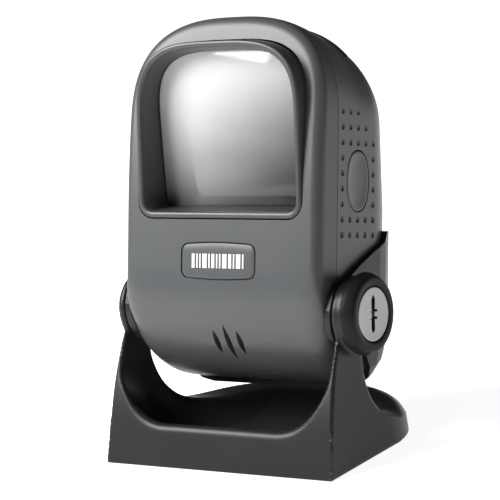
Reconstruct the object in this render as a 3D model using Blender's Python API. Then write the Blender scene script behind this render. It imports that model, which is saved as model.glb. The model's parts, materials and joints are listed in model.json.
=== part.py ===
"""A hands-free counter scanner: a laser scan head, held in a cradle that tilts on a yoke stand.

All sizes are in millimetres and become metres when a mesh is made. World axes: +X to the right
as seen from the front, +Y to the back, +Z up, with the origin on the table under the middle of
the whole object. The head frame sits on the tilt axis, leaned back with the head: x across,
y towards the back of the head, z up along the head. The window frame leans a little forward
from the head frame, along the face of the window bezel.
"""

import math

import bmesh
import bpy
from mathutils import Vector

MM = 0.001
GAP = 0.3

# Where the stand's own zero (middle of the front bottom edge) lies in world axes.
STAND_ZERO = (-2.25, -41.7, 0.0)

# Tilt axis and rest pose.
PIVOT_Y = 30.0
PIVOT_Z = 50.9
REST_LEAN = math.radians(14.0)

# Yoke stand.
BASE_HALF_WIDTH = 49.0
BASE_SIDE_END = 38.0
BASE_REAR_LENGTH = 40.0
BASE_REAR_POWER = 2.2
BASE_TOP = 12.2
BASE_EDGE_ROUND = 8.0
BASE_LIFT = 0.4
ARM_TOP_HALF_WIDTH = 46.3
ARM_INNER = 45.2
HUB_RADIUS = 12.9
HUB_FACE_RIGHT = 49.3
HUB_FACE_LEFT = 47.6
TROUGH_RADIUS = 46.5
TROUGH_FLAT = 24.0
TROUGH_CORNER_RADIUS = 26.0
SKIRT_WALL = 3.2
SKIRT_CEILING = 2.9
WEIGHT_BOX = ((-35.5, 53.0, 2.4), (35.5, 68.0, 8.6))
COVER_BOTTOM = 0.6
COVER_TOP = 2.0
FOOT_RADIUS = 5.0
FOOT_HEIGHT = 0.9
FOOT_POCKET_TOP = 1.2
FOOT_PLACES = {
    "front_left": (-38.0, 10.0),
    "front_right": (38.0, 10.0),
    "rear_left": (-30.0, 58.0),
    "rear_right": (30.0, 58.0),
}
BASE_SCREW_PLACES = {
    "front_left": (-26.0, 9.0),
    "front_right": (26.0, 9.0),
    "rear_left": (-39.0, 44.0),
    "rear_right": (39.0, 44.0),
}

BASE_SCREW_PROFILE = ((0.7, 2.1), (0.8, 2.3), (1.0, 2.3), (1.01, 1.15), (6.0, 1.15))
SCREW_HOLE_RADIUS = 1.6
SCREW_SINK_RADIUS = 2.7
POST_HOLE_RADIUS = 1.5
POST_HOLE_TOP = 6.6

# Knob, washers and pivots. Positions along the axis are measured from the middle of the stand.
KNOB_BACK_RADIUS = 14.3
KNOB_FRONT_RADIUS = 12.85
KNOB_FACE = 54.0
DISC_RADIUS = 9.4
DISC_DEPTH = 1.1
COIN_SLOT = (12.5, 1.7, 0.6)
WASHER_RADIUS = 9.0
WASHER_THICKNESS = 1.2
WASHER_INNER_FACE = 45.1
WASHER_SEAT_START = 44.0
WASHER_SEAT_END = 46.6
BOLT_RADIUS = 2.0
BOLT_INNER_END = 43.0
CAP_RADIUS = 11.6
CAP_THICKNESS = 1.6

# Scan head.
HEAD_HALF_WIDTH = 42.2
HEAD_FRONT = -17.2
HEAD_REAR = 40.5
HEAD_SEAM = -5.8
SEAM_SWEEP_Z = -2.0
HEAD_CROWN = 103.1
HEAD_CROWN_FALL = 0.0045
HEAD_CROWN_AT = -4.0
HEAD_ARCH_START = 66.0
HEAD_ARCH_POWER_FRONT = 2.8
HEAD_ARCH_POWER_REAR = 2.1
HEAD_ARCH_SETTLED = 12.0
HEAD_FRONT_ROUND = 5.0
HEAD_REAR_ROUND = 20.0
HEAD_CHIN_RADIUS = 35.0
HEAD_CHIN_CENTRE = (17.9, 9.6)
HEAD_HEEL_RADIUS = 22.6
HEAD_HEEL_CENTRE = (17.9, -2.8)
HEAD_BOTTOM_CORNER = 8.0
HEAD_HEEL_CORNER = 16.0
HEAD_SIDE_TAPER = 0.061
HEAD_BROW_LEAN = 4.2
HEAD_BROW_START = 35.0
HEAD_BROW_LENGTH = 61.0
HEAD_REAR_LEAN = 0.115
HEAD_REAR_LEAN_START = 36.0
WALL = 2.2

# Window, measured in the window frame.
WINDOW_HINGE = (0.0, -17.4, 32.0)
WINDOW_LEAN = math.radians(4.0)
BEZEL_HALF_WIDTH = 35.2
BEZEL_TOP = 61.9
BEZEL_CORNER = 6.0
BEZEL_RIM = 2.3
BEZEL_DEPTH = 12.0
GLASS_LEAN = 0.09
BEZEL_LIP = 0.8
BEZEL_ARCH_START = 31.0
BEZEL_ARCH_POWER = 3.5
TUNNEL_TAPER = 1.2
TUNNEL_SILL = 1.3
GASKET_THICKNESS = 0.7
GLASS_THICKNESS = 1.5
GLASS_SEAT = 0.9

# Small features of the head.
BADGE_CENTRE_Z = 17.2
BADGE_SIZE = (31.5, 11.8, 0.8)
BADGE_CORNER = 3.0
SLOT_PITCH = 5.1
SLOT_CENTRE_Z = -11.3
SLOT_LENGTHS = (8.1, 12.3, 8.1)
SLOT_WIDTH = 1.6
BUTTON_CENTRE = (8.1, 45.6)
BUTTON_SIZE = (14.8, 21.0)
BUTTON_POWER = 2.3
BUTTON_TRAVEL = 1.0
BUTTON_FLANGE = 1.3
BUTTON_FLANGE_THICKNESS = 1.4
BUTTON_FLANGE_GAP = 1.0
LIGHT_BAR_Y = (14.0, 17.0)
LIGHT_BAR_REACH = 31.0
SHELL_SINK_RADIUS = 2.9
SHELL_SINK_DEPTH = 1.2
SHELL_SCREW_HEAD_RADIUS = 2.5
SHELL_SCREW_SHANK_RADIUS = 1.25
SHELL_SCREW_LENGTH = 3.6
SHELL_SCREW_PLACES = {
    "lower_left": (-13.0, 38.0),
    "lower_right": (13.0, 38.0),
    "upper_left": (-13.0, 76.0),
    "upper_right": (13.0, 76.0),
}
SOCKET_SIZE = (14.0, 13.0, 12.0)
SOCKET_CAVITY = (10.4, 9.5, 8.0)
SOCKET_CENTRE_Z = 1.0

# Cradle.
CRADLE_EAR_RADIUS = 13.0
CRADLE_RIM = ((-4.5, 10.0), (6.5, 16.4), (16.6, 21.2), (24.2, 24.2), (28.0, 28.4), (50.0, 28.4))
CRADLE_HEEL = ((50.0, -35.0), (20.0, -35.0), (20.0, -23.0), (11.0, -14.5))
CRADLE_CLEARANCE = 0.35
CRADLE_WALL = 2.0
CABLE_NOTCH_HALF_WIDTH = 9.0
CABLE_NOTCH_FLOOR = -8.0

# Optics inside the head.
SHELF_Z = 16.0
SHELF_TOP = SHELF_Z + 1.6
SHELF_LOW = (-29.0, 1.5)
SHELF_HIGH = (29.0, 28.5)
BACK_PLATE_HALF_WIDTH = 27.0
BACK_PLATE_THICKNESS = 1.5
BACK_PLATE_TOP = 80.0
SPINDLE_Y = 14.0
MOTOR_RADIUS = 9.0
SPINDLE_RADIUS = 1.4
POLYGON_RADIUS = 12.0
POLYGON_HEIGHT = 7.0
POLYGON_SIDES = 6
POLYGON_FLOAT = 5.6
MIRROR_COUNT = 5
MIRROR_PITCH = 12.2
MIRROR_SIZE = (10.8, 1.2, 13.0)
MIRROR_ROW = (20.5, 42.0)
MIRROR_ROW_BOW = 1.1
MIRROR_TILT = -38.0
MIRROR_FAN = -12.0
COLLECTOR_PLACE = (-6.0, 23.0, 66.0)
COLLECTOR_HALF_SIZE = (16.0, 12.0)
COLLECTOR_THICKNESS = 1.8
COLLECTOR_CURVE = 0.012
COLLECTOR_TILT = 6.0
PHOTODIODE_BOX = ((14.0, 24.8, 58.0), (26.0, 26.4, 72.0))
LASER_PLACE = (-1.0, 8.0, SHELF_TOP + 4.6)
LASER_PROFILE = ((16.0, 3.2), (18.0, 4.2), (30.0, 4.2), (31.0, 3.4), (33.0, 3.4))
MAIN_BOARD_BOX = ((-24.0, 29.6, 16.0), (24.0, 31.2, 72.0))

# Boards, switches and the buzzer.
BOARD_THICKNESS = 1.6
SWITCH_HALF_SIZE = 3.0
SWITCH_DEPTH = 2.5
PLUNGER_LENGTH = 0.9
PLUNGER_RADIUS = 1.6
TRIGGER_BOARD_HALF = (5.0, 7.0)
IO_BOARD_LOW = (-18.0, -8.0)
IO_BOARD_HIGH = (18.0, 33.0)
BUZZER_Y = -1.0
BUZZER_RADIUS = 6.0
BUZZER_HEIGHT = 4.6


def clear_scene():
    for item in list(bpy.data.objects):
        bpy.data.objects.remove(item, do_unlink=True)


def make_material(name, colour, roughness, metallic=0.0, transmission=0.0):
    material = bpy.data.materials.new(name)
    material.use_nodes = True
    shader = material.node_tree.nodes["Principled BSDF"]
    shader.inputs["Base Color"].default_value = (*colour, 1.0)
    shader.inputs["Roughness"].default_value = roughness
    shader.inputs["Metallic"].default_value = metallic
    shader.inputs["Transmission Weight"].default_value = transmission
    material.diffuse_color = (*colour, 1.0)
    return material


def make_frame(name, parent=None, location=(0, 0, 0), lean=0.0):
    """An empty that stands for a frame; lean turns it about x, top forward when positive."""
    empty = bpy.data.objects.new(name, None)
    bpy.context.scene.collection.objects.link(empty)
    empty.parent = parent
    empty.location = Vector(location) * MM
    empty.rotation_euler = (lean, 0, 0)
    return empty


def add_object(name, mesh_source, material, parent, location=(0, 0, 0), rotation=(0, 0, 0)):
    """Turn a bmesh in millimetres into a named object in metres."""
    bmesh.ops.recalc_face_normals(mesh_source, faces=mesh_source.faces)
    bmesh.ops.scale(mesh_source, vec=(MM, MM, MM), verts=mesh_source.verts)
    mesh = bpy.data.meshes.new(name)
    mesh_source.to_mesh(mesh)
    mesh_source.free()
    mesh.shade_smooth()
    mesh.set_sharp_from_angle(angle=math.radians(32))
    mesh.materials.append(material)
    item = bpy.data.objects.new(name, mesh)
    bpy.context.scene.collection.objects.link(item)
    item.parent = parent
    item.location = Vector(location) * MM
    item.rotation_euler = rotation
    return item


def add_boolean(target, tool, operation):
    modifier = target.modifiers.new(operation.lower() + "_" + tool.name, "BOOLEAN")
    modifier.operation = operation
    modifier.solver = "EXACT"
    modifier.object = tool
    tool.hide_render = True
    tool.display_type = "WIRE"


def cut(target, name, mesh_source, parent, location=(0, 0, 0), rotation=(0, 0, 0)):
    tool = add_object("cut_" + name, mesh_source, target.data.materials[0], parent, location, rotation)
    add_boolean(target, tool, "DIFFERENCE")


def join(target, name, mesh_source, parent, location=(0, 0, 0), rotation=(0, 0, 0)):
    tool = add_object("add_" + name, mesh_source, target.data.materials[0], parent, location, rotation)
    add_boolean(target, tool, "UNION")


def keep_inside(target, name, mesh_source, parent):
    tool = add_object("keep_" + name, mesh_source, target.data.materials[0], parent)
    add_boolean(target, tool, "INTERSECT")


def loft(rings, closed=False, row_caps=False):
    """Skin a list of rings of equal length. Row caps join left and right points of an end ring."""
    shape = bmesh.new()
    rows = [[shape.verts.new(point) for point in ring] for ring in rings]
    count = len(rows[0])
    pairs = list(zip(rows, rows[1:]))
    if closed:
        pairs.append((rows[-1], rows[0]))
    for low, high in pairs:
        for i in range(count):
            j = (i + 1) % count
            shape.faces.new((low[i], low[j], high[j], high[i]))
    if closed:
        return shape
    for end in (rows[0], rows[-1]):
        if not row_caps:
            shape.faces.new(end)
            continue
        for i in range(count // 2 - 1):
            shape.faces.new((end[i], end[i + 1], end[-2 - i], end[-1 - i]))
    return shape


def prism(outline, start, end, axis="z"):
    """Extrude a flat outline of (a, b) points along x, y or z."""
    place = {
        "x": lambda a, b, d: (d, a, b),
        "y": lambda a, b, d: (a, d, b),
        "z": lambda a, b, d: (a, b, d),
    }[axis]
    return loft([[place(a, b, depth) for a, b in outline] for depth in (start, end)])


def box(low, high):
    outline = [(low[0], low[1]), (high[0], low[1]), (high[0], high[1]), (low[0], high[1])]
    return prism(outline, low[2], high[2])


def arc(centre, radius, start, end, steps):
    """Points on an arc, angles in degrees."""
    turns = [math.radians(start + (end - start) * i / steps) for i in range(steps + 1)]
    return [(centre[0] + radius * math.cos(t), centre[1] + radius * math.sin(t)) for t in turns]


def circle(radius, sides, centre=(0.0, 0.0)):
    return arc(centre, radius, 0, 360, sides)[:-1]


def rounded_box_outline(width, height, corner, steps=3):
    outline = []
    for turn, (sx, sy) in enumerate(((1, 1), (-1, 1), (-1, -1), (1, -1))):
        centre = (sx * (width / 2 - corner), sy * (height / 2 - corner))
        outline += arc(centre, corner, 90 * turn, 90 * turn + 90, steps)
    return outline


def turned(profile, sides, axis="x"):
    """A solid turned about an axis from (distance along it, radius) points."""
    rings = []
    for along, radius in profile:
        points = circle(radius, sides)
        if axis == "x":
            rings.append([(along, a, b) for a, b in points])
        elif axis == "y":
            rings.append([(a, along, b) for a, b in points])
        else:
            rings.append([(a, b, along) for a, b in points])
    return loft(rings)


def disc_x(side, start, end, radius, sides):
    """A plain disc along x between two distances from the middle, on the side given by its sign."""
    return turned([(side * start, radius), (side * end, radius)], sides)


def super_quarter(half_width, height, power, steps, last=86.0):
    """Points of a quarter superellipse, from its side up to just before its crown."""
    points = []
    for i in range(1, steps + 1):
        turn = math.radians(last * i / steps)
        x = half_width * math.cos(turn) ** (2 / power)
        z = height * math.sin(turn) ** (2 / power)
        points.append((x, z))
    return points


def arched_outline(half_width, bottom, top, corner, arch_start, power, steps=(4, 2, 9)):
    """A closed outline, straight below and arched above, listed from bottom right to bottom left."""
    corner_steps, side_steps, arch_steps = steps
    right = arc((half_width - corner, bottom + corner), corner, -90, 0, corner_steps)
    low = bottom + corner
    for i in range(1, side_steps + 1):
        right.append((half_width, low + (arch_start - low) * i / side_steps))
    for x, z in super_quarter(half_width, top - arch_start, power, arch_steps):
        right.append((x, arch_start + z))
    return right + [(-x, z) for x, z in reversed(right)]


def head_bottom(y, offset):
    """Height of the head's underside at a depth: the chin's arc, then the heel's."""
    if y < HEAD_CHIN_CENTRE[0]:
        centre, radius = HEAD_CHIN_CENTRE, HEAD_CHIN_RADIUS - offset
    else:
        centre, radius = HEAD_HEEL_CENTRE, HEAD_HEEL_RADIUS - offset
    return centre[1] - math.sqrt(max(radius**2 - (y - centre[0]) ** 2, 0.0))


def round_inset(depth, radius):
    """How far a rounded edge stands in at a depth inside the face that it rounds off."""
    reach = min(max(radius - depth, 0.0), radius)
    return radius - math.sqrt(radius**2 - reach**2)


def depth_share(y, start, end):
    """0 in front of the start depth, 1 behind the end depth, and a straight ramp between them."""
    return min(max((y - start) / (end - start), 0.0), 1.0)


def arch_power(y):
    """The crown's arch is squarer at the face and rounder towards the back."""
    share = depth_share(y, HEAD_FRONT, HEAD_ARCH_SETTLED)
    return HEAD_ARCH_POWER_FRONT + (HEAD_ARCH_POWER_REAR - HEAD_ARCH_POWER_FRONT) * share


def brow_shift(z):
    """The face leans back above the badge."""
    return HEAD_BROW_LEAN * (max(z - HEAD_BROW_START, 0.0) / HEAD_BROW_LENGTH) ** 2


def rear_shift(z):
    return -HEAD_REAR_LEAN * max(z - HEAD_REAR_LEAN_START, 0.0)


def head_ring(y, offset=0.0):
    """One section of the head's outer form across y; a positive offset lies inside it."""
    inset = offset
    inset += round_inset(y - HEAD_FRONT - offset, HEAD_FRONT_ROUND - min(offset, 3.0))
    inset += round_inset(HEAD_REAR - offset - y, HEAD_REAR_ROUND - offset)
    taper = HEAD_SIDE_TAPER * max(y - HEAD_SEAM, 0.0)
    top = HEAD_CROWN - HEAD_CROWN_FALL * (y - HEAD_CROWN_AT) ** 2 - inset
    corner = HEAD_BOTTOM_CORNER + (HEAD_HEEL_CORNER - HEAD_BOTTOM_CORNER) * depth_share(y, 8.0, 32.0)
    outline = arched_outline(
        HEAD_HALF_WIDTH - taper - inset,
        head_bottom(y, offset),
        top,
        corner - min(offset, 3.0),
        HEAD_ARCH_START,
        arch_power(y),
    )
    front_share = 1.0 - depth_share(y, HEAD_FRONT, HEAD_SEAM)
    rear_share = depth_share(y, HEAD_SEAM, HEAD_REAR)
    return [(x, y + front_share * brow_shift(z) + rear_share * rear_shift(z), z) for x, z in outline]


def front_depths(offset, steps):
    radius = HEAD_FRONT_ROUND - offset
    turns = [math.pi / 2 * i / steps for i in range(steps + 1)]
    return [HEAD_FRONT + offset + radius * (1 - math.cos(t)) for t in turns]


def rear_depths(offset, steps, last=88.0):
    radius = HEAD_REAR_ROUND - offset
    turns = [math.radians(last) * i / steps for i in range(steps + 1)]
    return [HEAD_REAR - offset - radius * (1 - math.sin(t)) for t in turns]


def window_outline(grow=0.0, sill=0.0, crown=0.0):
    """The bezel's outline, grown all round, with its sill raised and its crown lowered."""
    return arched_outline(
        BEZEL_HALF_WIDTH + grow,
        sill - grow,
        BEZEL_TOP + grow - crown,
        max(BEZEL_CORNER + grow, 1.5),
        BEZEL_ARCH_START,
        BEZEL_ARCH_POWER,
        (3, 2, 8),
    )


def base_outline(inset, steps=9):
    """The stand's plan: straight front and sides, and a superelliptic rear."""
    half = BASE_HALF_WIDTH - inset
    right = [(half, inset), (half, BASE_SIDE_END)]
    for x, y in super_quarter(half, BASE_REAR_LENGTH - inset, BASE_REAR_POWER, steps):
        right.append((x, BASE_SIDE_END + y))
    return right + [(-x, y) for x, y in reversed(right)]


def arm_profile():
    """The yoke arm seen from the side, from its front bottom corner round its hub to its tail."""
    hub = arc((PIVOT_Y, PIVOT_Z), HUB_RADIUS, 195, -85, 14)
    front = [(0.0, BASE_LIFT), (2.9, 10.0), (5.8, 20.0), (9.5, 30.0), (14.2, 40.0)]
    rear = [(29.8, 34.0), (29.9, 27.5), (31.4, 20.7), (35.0, 15.0), (41.0, 11.4), (50.0, 9.2)]
    return front + hub + rear + [(54.0, 8.2), (54.0, BASE_LIFT)]


def arm_half_width(z):
    """The arm's outer face leans in towards its top."""
    return BASE_HALF_WIDTH + (ARM_TOP_HALF_WIDTH - BASE_HALF_WIDTH) * z / PIVOT_Z


def build_yoke(stand, plastic):
    """The one-piece stand: a weighted base that rises into two arms with hubs."""
    rounding = [(BASE_LIFT, 0.0), (BASE_TOP - BASE_EDGE_ROUND, 0.35)]
    for turn in (20, 40, 60, 80):
        drop = BASE_EDGE_ROUND * math.sin(math.radians(turn))
        inset = 0.35 + BASE_EDGE_ROUND * (1 - math.cos(math.radians(turn)))
        rounding.append((BASE_TOP - BASE_EDGE_ROUND + drop, inset))
    rings = [[(x, y, z) for x, y in base_outline(inset)] for z, inset in rounding]
    yoke = add_object("yoke_stand", loft(rings), plastic, stand)
    profile = arm_profile()
    slab = loft([[(side * arm_half_width(z), y, z) for y, z in profile] for side in (-1, 1)])
    join(yoke, "arms", slab, stand)
    plan = loft([[(x, y, z) for x, y in base_outline(0.0)] for z in (-5.0, 80.0)])
    add_boolean(bpy.data.objects["add_arms"], add_object("keep_arms", plan, plastic, stand), "INTERSECT")
    hub = turned([(-HUB_FACE_LEFT, HUB_RADIUS - 0.05), (HUB_FACE_RIGHT, HUB_RADIUS - 0.05)], 32)
    join(yoke, "hubs", hub, stand, (0, PIVOT_Y, PIVOT_Z), (math.radians(4), 0, 0))
    half = []
    for step in range(9):
        turn = math.radians(90 * step / 8)
        reach = TROUGH_FLAT + (ARM_INNER - TROUGH_FLAT) * math.sin(turn)
        half.append((reach, TROUGH_CORNER_RADIUS + (TROUGH_RADIUS - TROUGH_CORNER_RADIUS) * math.cos(turn)))
    profile = [(-x, r) for x, r in reversed(half)] + half
    cut(yoke, "trough", turned(profile, 64), stand, (0, PIVOT_Y, PIVOT_Z))
    skirt = [[(x, y, z) for x, y in base_outline(SKIRT_WALL, 6)] for z in (-1.0, SKIRT_CEILING)]
    cut(yoke, "skirt", loft(skirt), stand)
    low, high = WEIGHT_BOX
    pocket = box(
        (low[0] - GAP, low[1] - GAP, 1.0),
        (high[0] + GAP, high[1] + GAP, high[2] + GAP),
    )
    cut(yoke, "weight_pocket", pocket, stand)
    for place, (x, y) in BASE_SCREW_PLACES.items():
        post = turned([(1.0, POST_HOLE_RADIUS), (POST_HOLE_TOP, POST_HOLE_RADIUS)], 12, "z")
        cut(yoke, "post_" + place, post, stand, (x, y, 0))
    for side, name, face in ((-1, "left", HUB_FACE_LEFT), (1, "right", HUB_FACE_RIGHT)):
        seat = disc_x(side, WASHER_SEAT_START, WASHER_SEAT_END, WASHER_RADIUS + GAP, 28)
        cut(yoke, "washer_seat_" + name, seat, stand, (0, PIVOT_Y, PIVOT_Z))
        hole = disc_x(side, WASHER_SEAT_START, face + 1, BOLT_RADIUS + GAP, 16)
        cut(yoke, "pivot_hole_" + name, hole, stand, (0, PIVOT_Y, PIVOT_Z))


def build_base_fittings(stand, plastic, steel, rubber):
    """What closes the stand's underside: the weight, the cover, its screws and the feet."""
    add_object("base_weight", box(*WEIGHT_BOX), steel, stand)
    cover = [[(x, y, z) for x, y in base_outline(SKIRT_WALL + GAP, 6)] for z in (COVER_BOTTOM, COVER_TOP)]
    cover = add_object("base_cover", loft(cover), plastic, stand)
    for place, (x, y) in FOOT_PLACES.items():
        pocket = turned([(-0.5, FOOT_RADIUS + GAP), (FOOT_POCKET_TOP, FOOT_RADIUS + GAP)], 24, "z")
        cut(cover, "foot_pocket_" + place, pocket, stand, (x, y, 0))
        foot = turned([(0.0, FOOT_RADIUS - 0.2), (0.2, FOOT_RADIUS), (FOOT_HEIGHT, FOOT_RADIUS)], 24, "z")
        add_object("foot_" + place, foot, rubber, stand, (x, y, 0))
    for place, (x, y) in BASE_SCREW_PLACES.items():
        sink = turned([(-0.5, SCREW_SINK_RADIUS), (1.3, SCREW_SINK_RADIUS)], 16, "z")
        cut(cover, "screw_sink_" + place, sink, stand, (x, y, 0))
        hole = turned([(-0.5, SCREW_HOLE_RADIUS), (3.0, SCREW_HOLE_RADIUS)], 12, "z")
        cut(cover, "screw_hole_" + place, hole, stand, (x, y, 0))
        screw = turned(BASE_SCREW_PROFILE, 12, "z")
        add_object("base_screw_" + place, screw, steel, stand, (x, y, 0))


def build_pivots(stand, knob_frame, plastic, steel, fibre):
    """Friction washers and the left pin on the stand, and the knob that turns on the right."""
    for side, name in ((-1, "left"), (1, "right")):
        end = WASHER_INNER_FACE + WASHER_THICKNESS
        ring = disc_x(side, WASHER_INNER_FACE, end, WASHER_RADIUS, 28)
        washer = add_object("friction_washer_" + name, ring, fibre, stand, (0, PIVOT_Y, PIVOT_Z))
        hole = disc_x(side, WASHER_SEAT_START, 48.0, BOLT_RADIUS + GAP, 16)
        cut(washer, "washer_hole_" + name, hole, stand, (0, PIVOT_Y, PIVOT_Z))
    pin = disc_x(-1, BOLT_INNER_END, HUB_FACE_LEFT, BOLT_RADIUS, 16)
    add_object("pivot_pin_left", pin, steel, stand, (0, PIVOT_Y, PIVOT_Z))
    start = -HUB_FACE_LEFT - GAP
    dome = [
        (start, CAP_RADIUS),
        (start - 0.6, CAP_RADIUS - 0.1),
        (start - 1.2, CAP_RADIUS - 1.2),
        (start - CAP_THICKNESS, CAP_RADIUS - 3.5),
    ]
    add_object("hub_cap_left", turned(dome, 32), plastic, stand, (0, PIVOT_Y, PIVOT_Z))

    back = HUB_FACE_RIGHT + GAP
    body = [
        (back, KNOB_BACK_RADIUS - 0.4),
        (back + 0.4, KNOB_BACK_RADIUS),
        (back + 1.2, KNOB_BACK_RADIUS),
        (KNOB_FACE - 0.8, KNOB_FRONT_RADIUS + 0.5),
        (KNOB_FACE, KNOB_FRONT_RADIUS - 0.4),
    ]
    knob = add_object("tilt_knob", turned(body, 40), plastic, knob_frame)
    seat_depth = KNOB_FACE - DISC_DEPTH - GAP
    cut(knob, "disc_seat", turned([(seat_depth, DISC_RADIUS + GAP), (60.0, DISC_RADIUS + GAP)], 40), knob_frame)
    cut(knob, "bolt_hole", turned([(40.0, BOLT_RADIUS + GAP), (60.0, BOLT_RADIUS + GAP)], 16), knob_frame)
    face = KNOB_FACE - 0.15
    rim = [(face - DISC_DEPTH + 0.15, DISC_RADIUS), (face - 0.3, DISC_RADIUS), (face, DISC_RADIUS - 0.3)]
    disc = add_object("knob_disc", turned(rim, 40), steel, knob_frame)
    length, width, depth = COIN_SLOT
    slot = box((face - depth, -width / 2, -length / 2), (face + 1, width / 2, length / 2))
    cut(disc, "coin_slot", slot, knob_frame, (0, 0, 0), (math.radians(-12), 0, 0))
    bolt_end = KNOB_FACE - DISC_DEPTH - 2 * GAP
    add_object("pivot_bolt_right", disc_x(1, BOLT_INNER_END, bolt_end, BOLT_RADIUS, 16), steel, knob_frame)


def cradle_region():
    """The part of the cup that is kept, seen from the side: ears, back wall and heel."""
    return arc((0.0, 0.0), CRADLE_EAR_RADIUS, 270, 128, 12) + list(CRADLE_RIM) + list(CRADLE_HEEL)


def build_cradle(head, plastic):
    """The cup that grips the head's heel, hung on the tilt axis by its two ears."""
    inner = -CRADLE_CLEARANCE
    outer = inner - CRADLE_WALL
    cradle = add_object("cradle", head_solid(outer, (3, 7)), plastic, head)
    cut(cradle, "cup", head_solid(inner, (3, 7)), head)
    cut(cradle, "ear_holes", turned([(-50.0, BOLT_RADIUS + GAP), (50.0, BOLT_RADIUS + GAP)], 16), head)
    keep_inside(cradle, "cradle_region", prism(cradle_region(), -60.0, 60.0, "x"), head)
    notch = box(
        (-CABLE_NOTCH_HALF_WIDTH, 25.0, CABLE_NOTCH_FLOOR),
        (CABLE_NOTCH_HALF_WIDTH, 60.0, 60.0),
    )
    cut(cradle, "cable_notch", notch, head)


def lens_outline(width, length, steps=5):
    """A slot with pointed ends between two arcs."""
    side = [(width / 2 * math.sin(math.pi * i / steps), length * (i / steps - 0.5)) for i in range(steps)]
    return side + [(-x, -z) for x, z in side]


def head_solid(offset, steps=(6, 7)):
    """The head's whole outer form, or the hollow inside its wall when the offset is positive."""
    depths = front_depths(offset, steps[0]) + [-9.5, HEAD_SEAM, 2.0, 10.0] + rear_depths(offset, steps[1])
    return loft([head_ring(y, offset) for y in depths], row_caps=True)


def seam_region(side, gap):
    """Everything in front of the seam (side -1) or behind it (side 1), seen from the side.

    The seam runs straight down the side and sweeps back under the chin, out of sight.
    """
    seam = HEAD_SEAM + side * gap / 2
    sweep = arc((seam + 20.0, SEAM_SWEEP_Z), 20.0, 180, 255, 8)
    line = [(seam, 120.0)] + sweep + [(sweep[-1][0] + 14.0, -40.0)]
    return line + [(side * 80.0, -40.0), (side * 80.0, 120.0)]


def build_front_shell(head, window, plastic, trim):
    """The face of the head, with its window hole, badge recess and speaker slots."""
    shell = add_object("front_shell", head_solid(0.0), plastic, head)
    cut(shell, "front_hollow", head_solid(WALL, (4, 6)), head)
    keep_inside(shell, "front_side", prism(seam_region(-1, GAP), -60.0, 60.0, "x"), head)
    cut(shell, "window_hole", prism(window_outline(GAP), -12.0, 14.0, "y"), window)
    width, height, depth = BADGE_SIZE
    floor = HEAD_FRONT + depth + GAP
    recess = rounded_box_outline(width + 2 * GAP, height + 2 * GAP, BADGE_CORNER + GAP)
    cut(shell, "badge_recess", prism(recess, HEAD_FRONT - 5, floor, "y"), head, (0, 0, BADGE_CENTRE_Z))
    for index, length in enumerate(SLOT_LENGTHS):
        slot = prism(lens_outline(SLOT_WIDTH, length), -25.0, 2.0, "y")
        cut(shell, f"speaker_slot_{index}", slot, head, ((index - 1) * SLOT_PITCH, 0, SLOT_CENTRE_Z))
    plate = prism(rounded_box_outline(width, height, BADGE_CORNER), floor - GAP - depth - 0.2, floor - GAP, "y")
    add_object("badge_plate", plate, trim, head, (0, 0, BADGE_CENTRE_Z))


def build_window(window, trim, rubber, glass):
    """The bezel's tunnel, the gasket behind it and the glass that it clamps."""
    lip = BEZEL_LIP
    rim = BEZEL_RIM
    spots = [
        (BEZEL_DEPTH, 0.0, 0.0, 0.0),
        (lip, 0.0, 0.0, 0.0),
        (0.0, -lip, 0.0, 0.0),
        (0.0, lip - rim, 0.0, 0.0),
        (lip, -rim, 0.0, 0.0),
        (BEZEL_DEPTH, -rim - TUNNEL_TAPER, TUNNEL_SILL - TUNNEL_TAPER, 0.0),
    ]
    rings = []
    for depth, grow, sill, crown in spots:
        lean = GLASS_LEAN if depth == BEZEL_DEPTH else 0.0
        rings.append([(x, depth - lean * z, z) for x, z in window_outline(grow, sill, crown)])
    add_object("window_bezel", loft(rings, closed=True), trim, window)

    start = BEZEL_DEPTH + GAP
    end = start + GASKET_THICKNESS
    inner = window_outline(-rim - TUNNEL_TAPER, TUNNEL_SILL - TUNNEL_TAPER)
    outer = window_outline(-0.6)
    rings = [[(x, depth - GLASS_LEAN * z, z) for x, z in outline] for depth, outline in
             ((start, outer), (start, inner), (end, inner), (end, outer))]
    add_object("window_gasket", loft(rings, closed=True), rubber, window)
    pane = window_outline(-rim - TUNNEL_TAPER + GLASS_SEAT, TUNNEL_SILL - TUNNEL_TAPER)
    start = end + GAP
    rings = [[(x, depth - GLASS_LEAN * z, z) for x, z in pane] for depth in (start, start + GLASS_THICKNESS)]
    add_object("window_glass", loft(rings), glass, window)


def light_bar_shape(y_start, y_end, out, depth, reach):
    """A strip that follows the crown's arch, between two depths below the shell's surface."""
    half_width = HEAD_HALF_WIDTH - HEAD_SIDE_TAPER * (y_start - HEAD_SEAM)
    rise = HEAD_CROWN - HEAD_CROWN_FALL * (y_start - HEAD_CROWN_AT) ** 2 - HEAD_ARCH_START
    power = arch_power(y_start)
    rings = []
    steps = 12
    for step in range(steps + 1):
        x = reach * (2 * step / steps - 1)
        ring = []
        for y, level in ((y_start, out), (y_end, out), (y_end, depth), (y_start, depth)):
            a, b = half_width - level, rise - level
            z = HEAD_ARCH_START + b * (1 - (abs(x) / a) ** power) ** (1 / power)
            ring.append((x, y, z))
        rings.append(ring)
    return loft(rings)


def button_outline(grow, steps=24):
    """The side button's outline, a superellipse grown all round."""
    points = []
    for step in range(steps):
        turn = 2 * math.pi * step / steps
        across, up = math.cos(turn), math.sin(turn)
        reach = (abs(across) ** BUTTON_POWER + abs(up) ** BUTTON_POWER) ** (-1 / BUTTON_POWER)
        points.append((reach * across * (BUTTON_SIZE[0] / 2 + grow), reach * up * (BUTTON_SIZE[1] / 2 + grow)))
    return points


def side_face(y):
    return HEAD_HALF_WIDTH - HEAD_SIDE_TAPER * (y - HEAD_SEAM)


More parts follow.
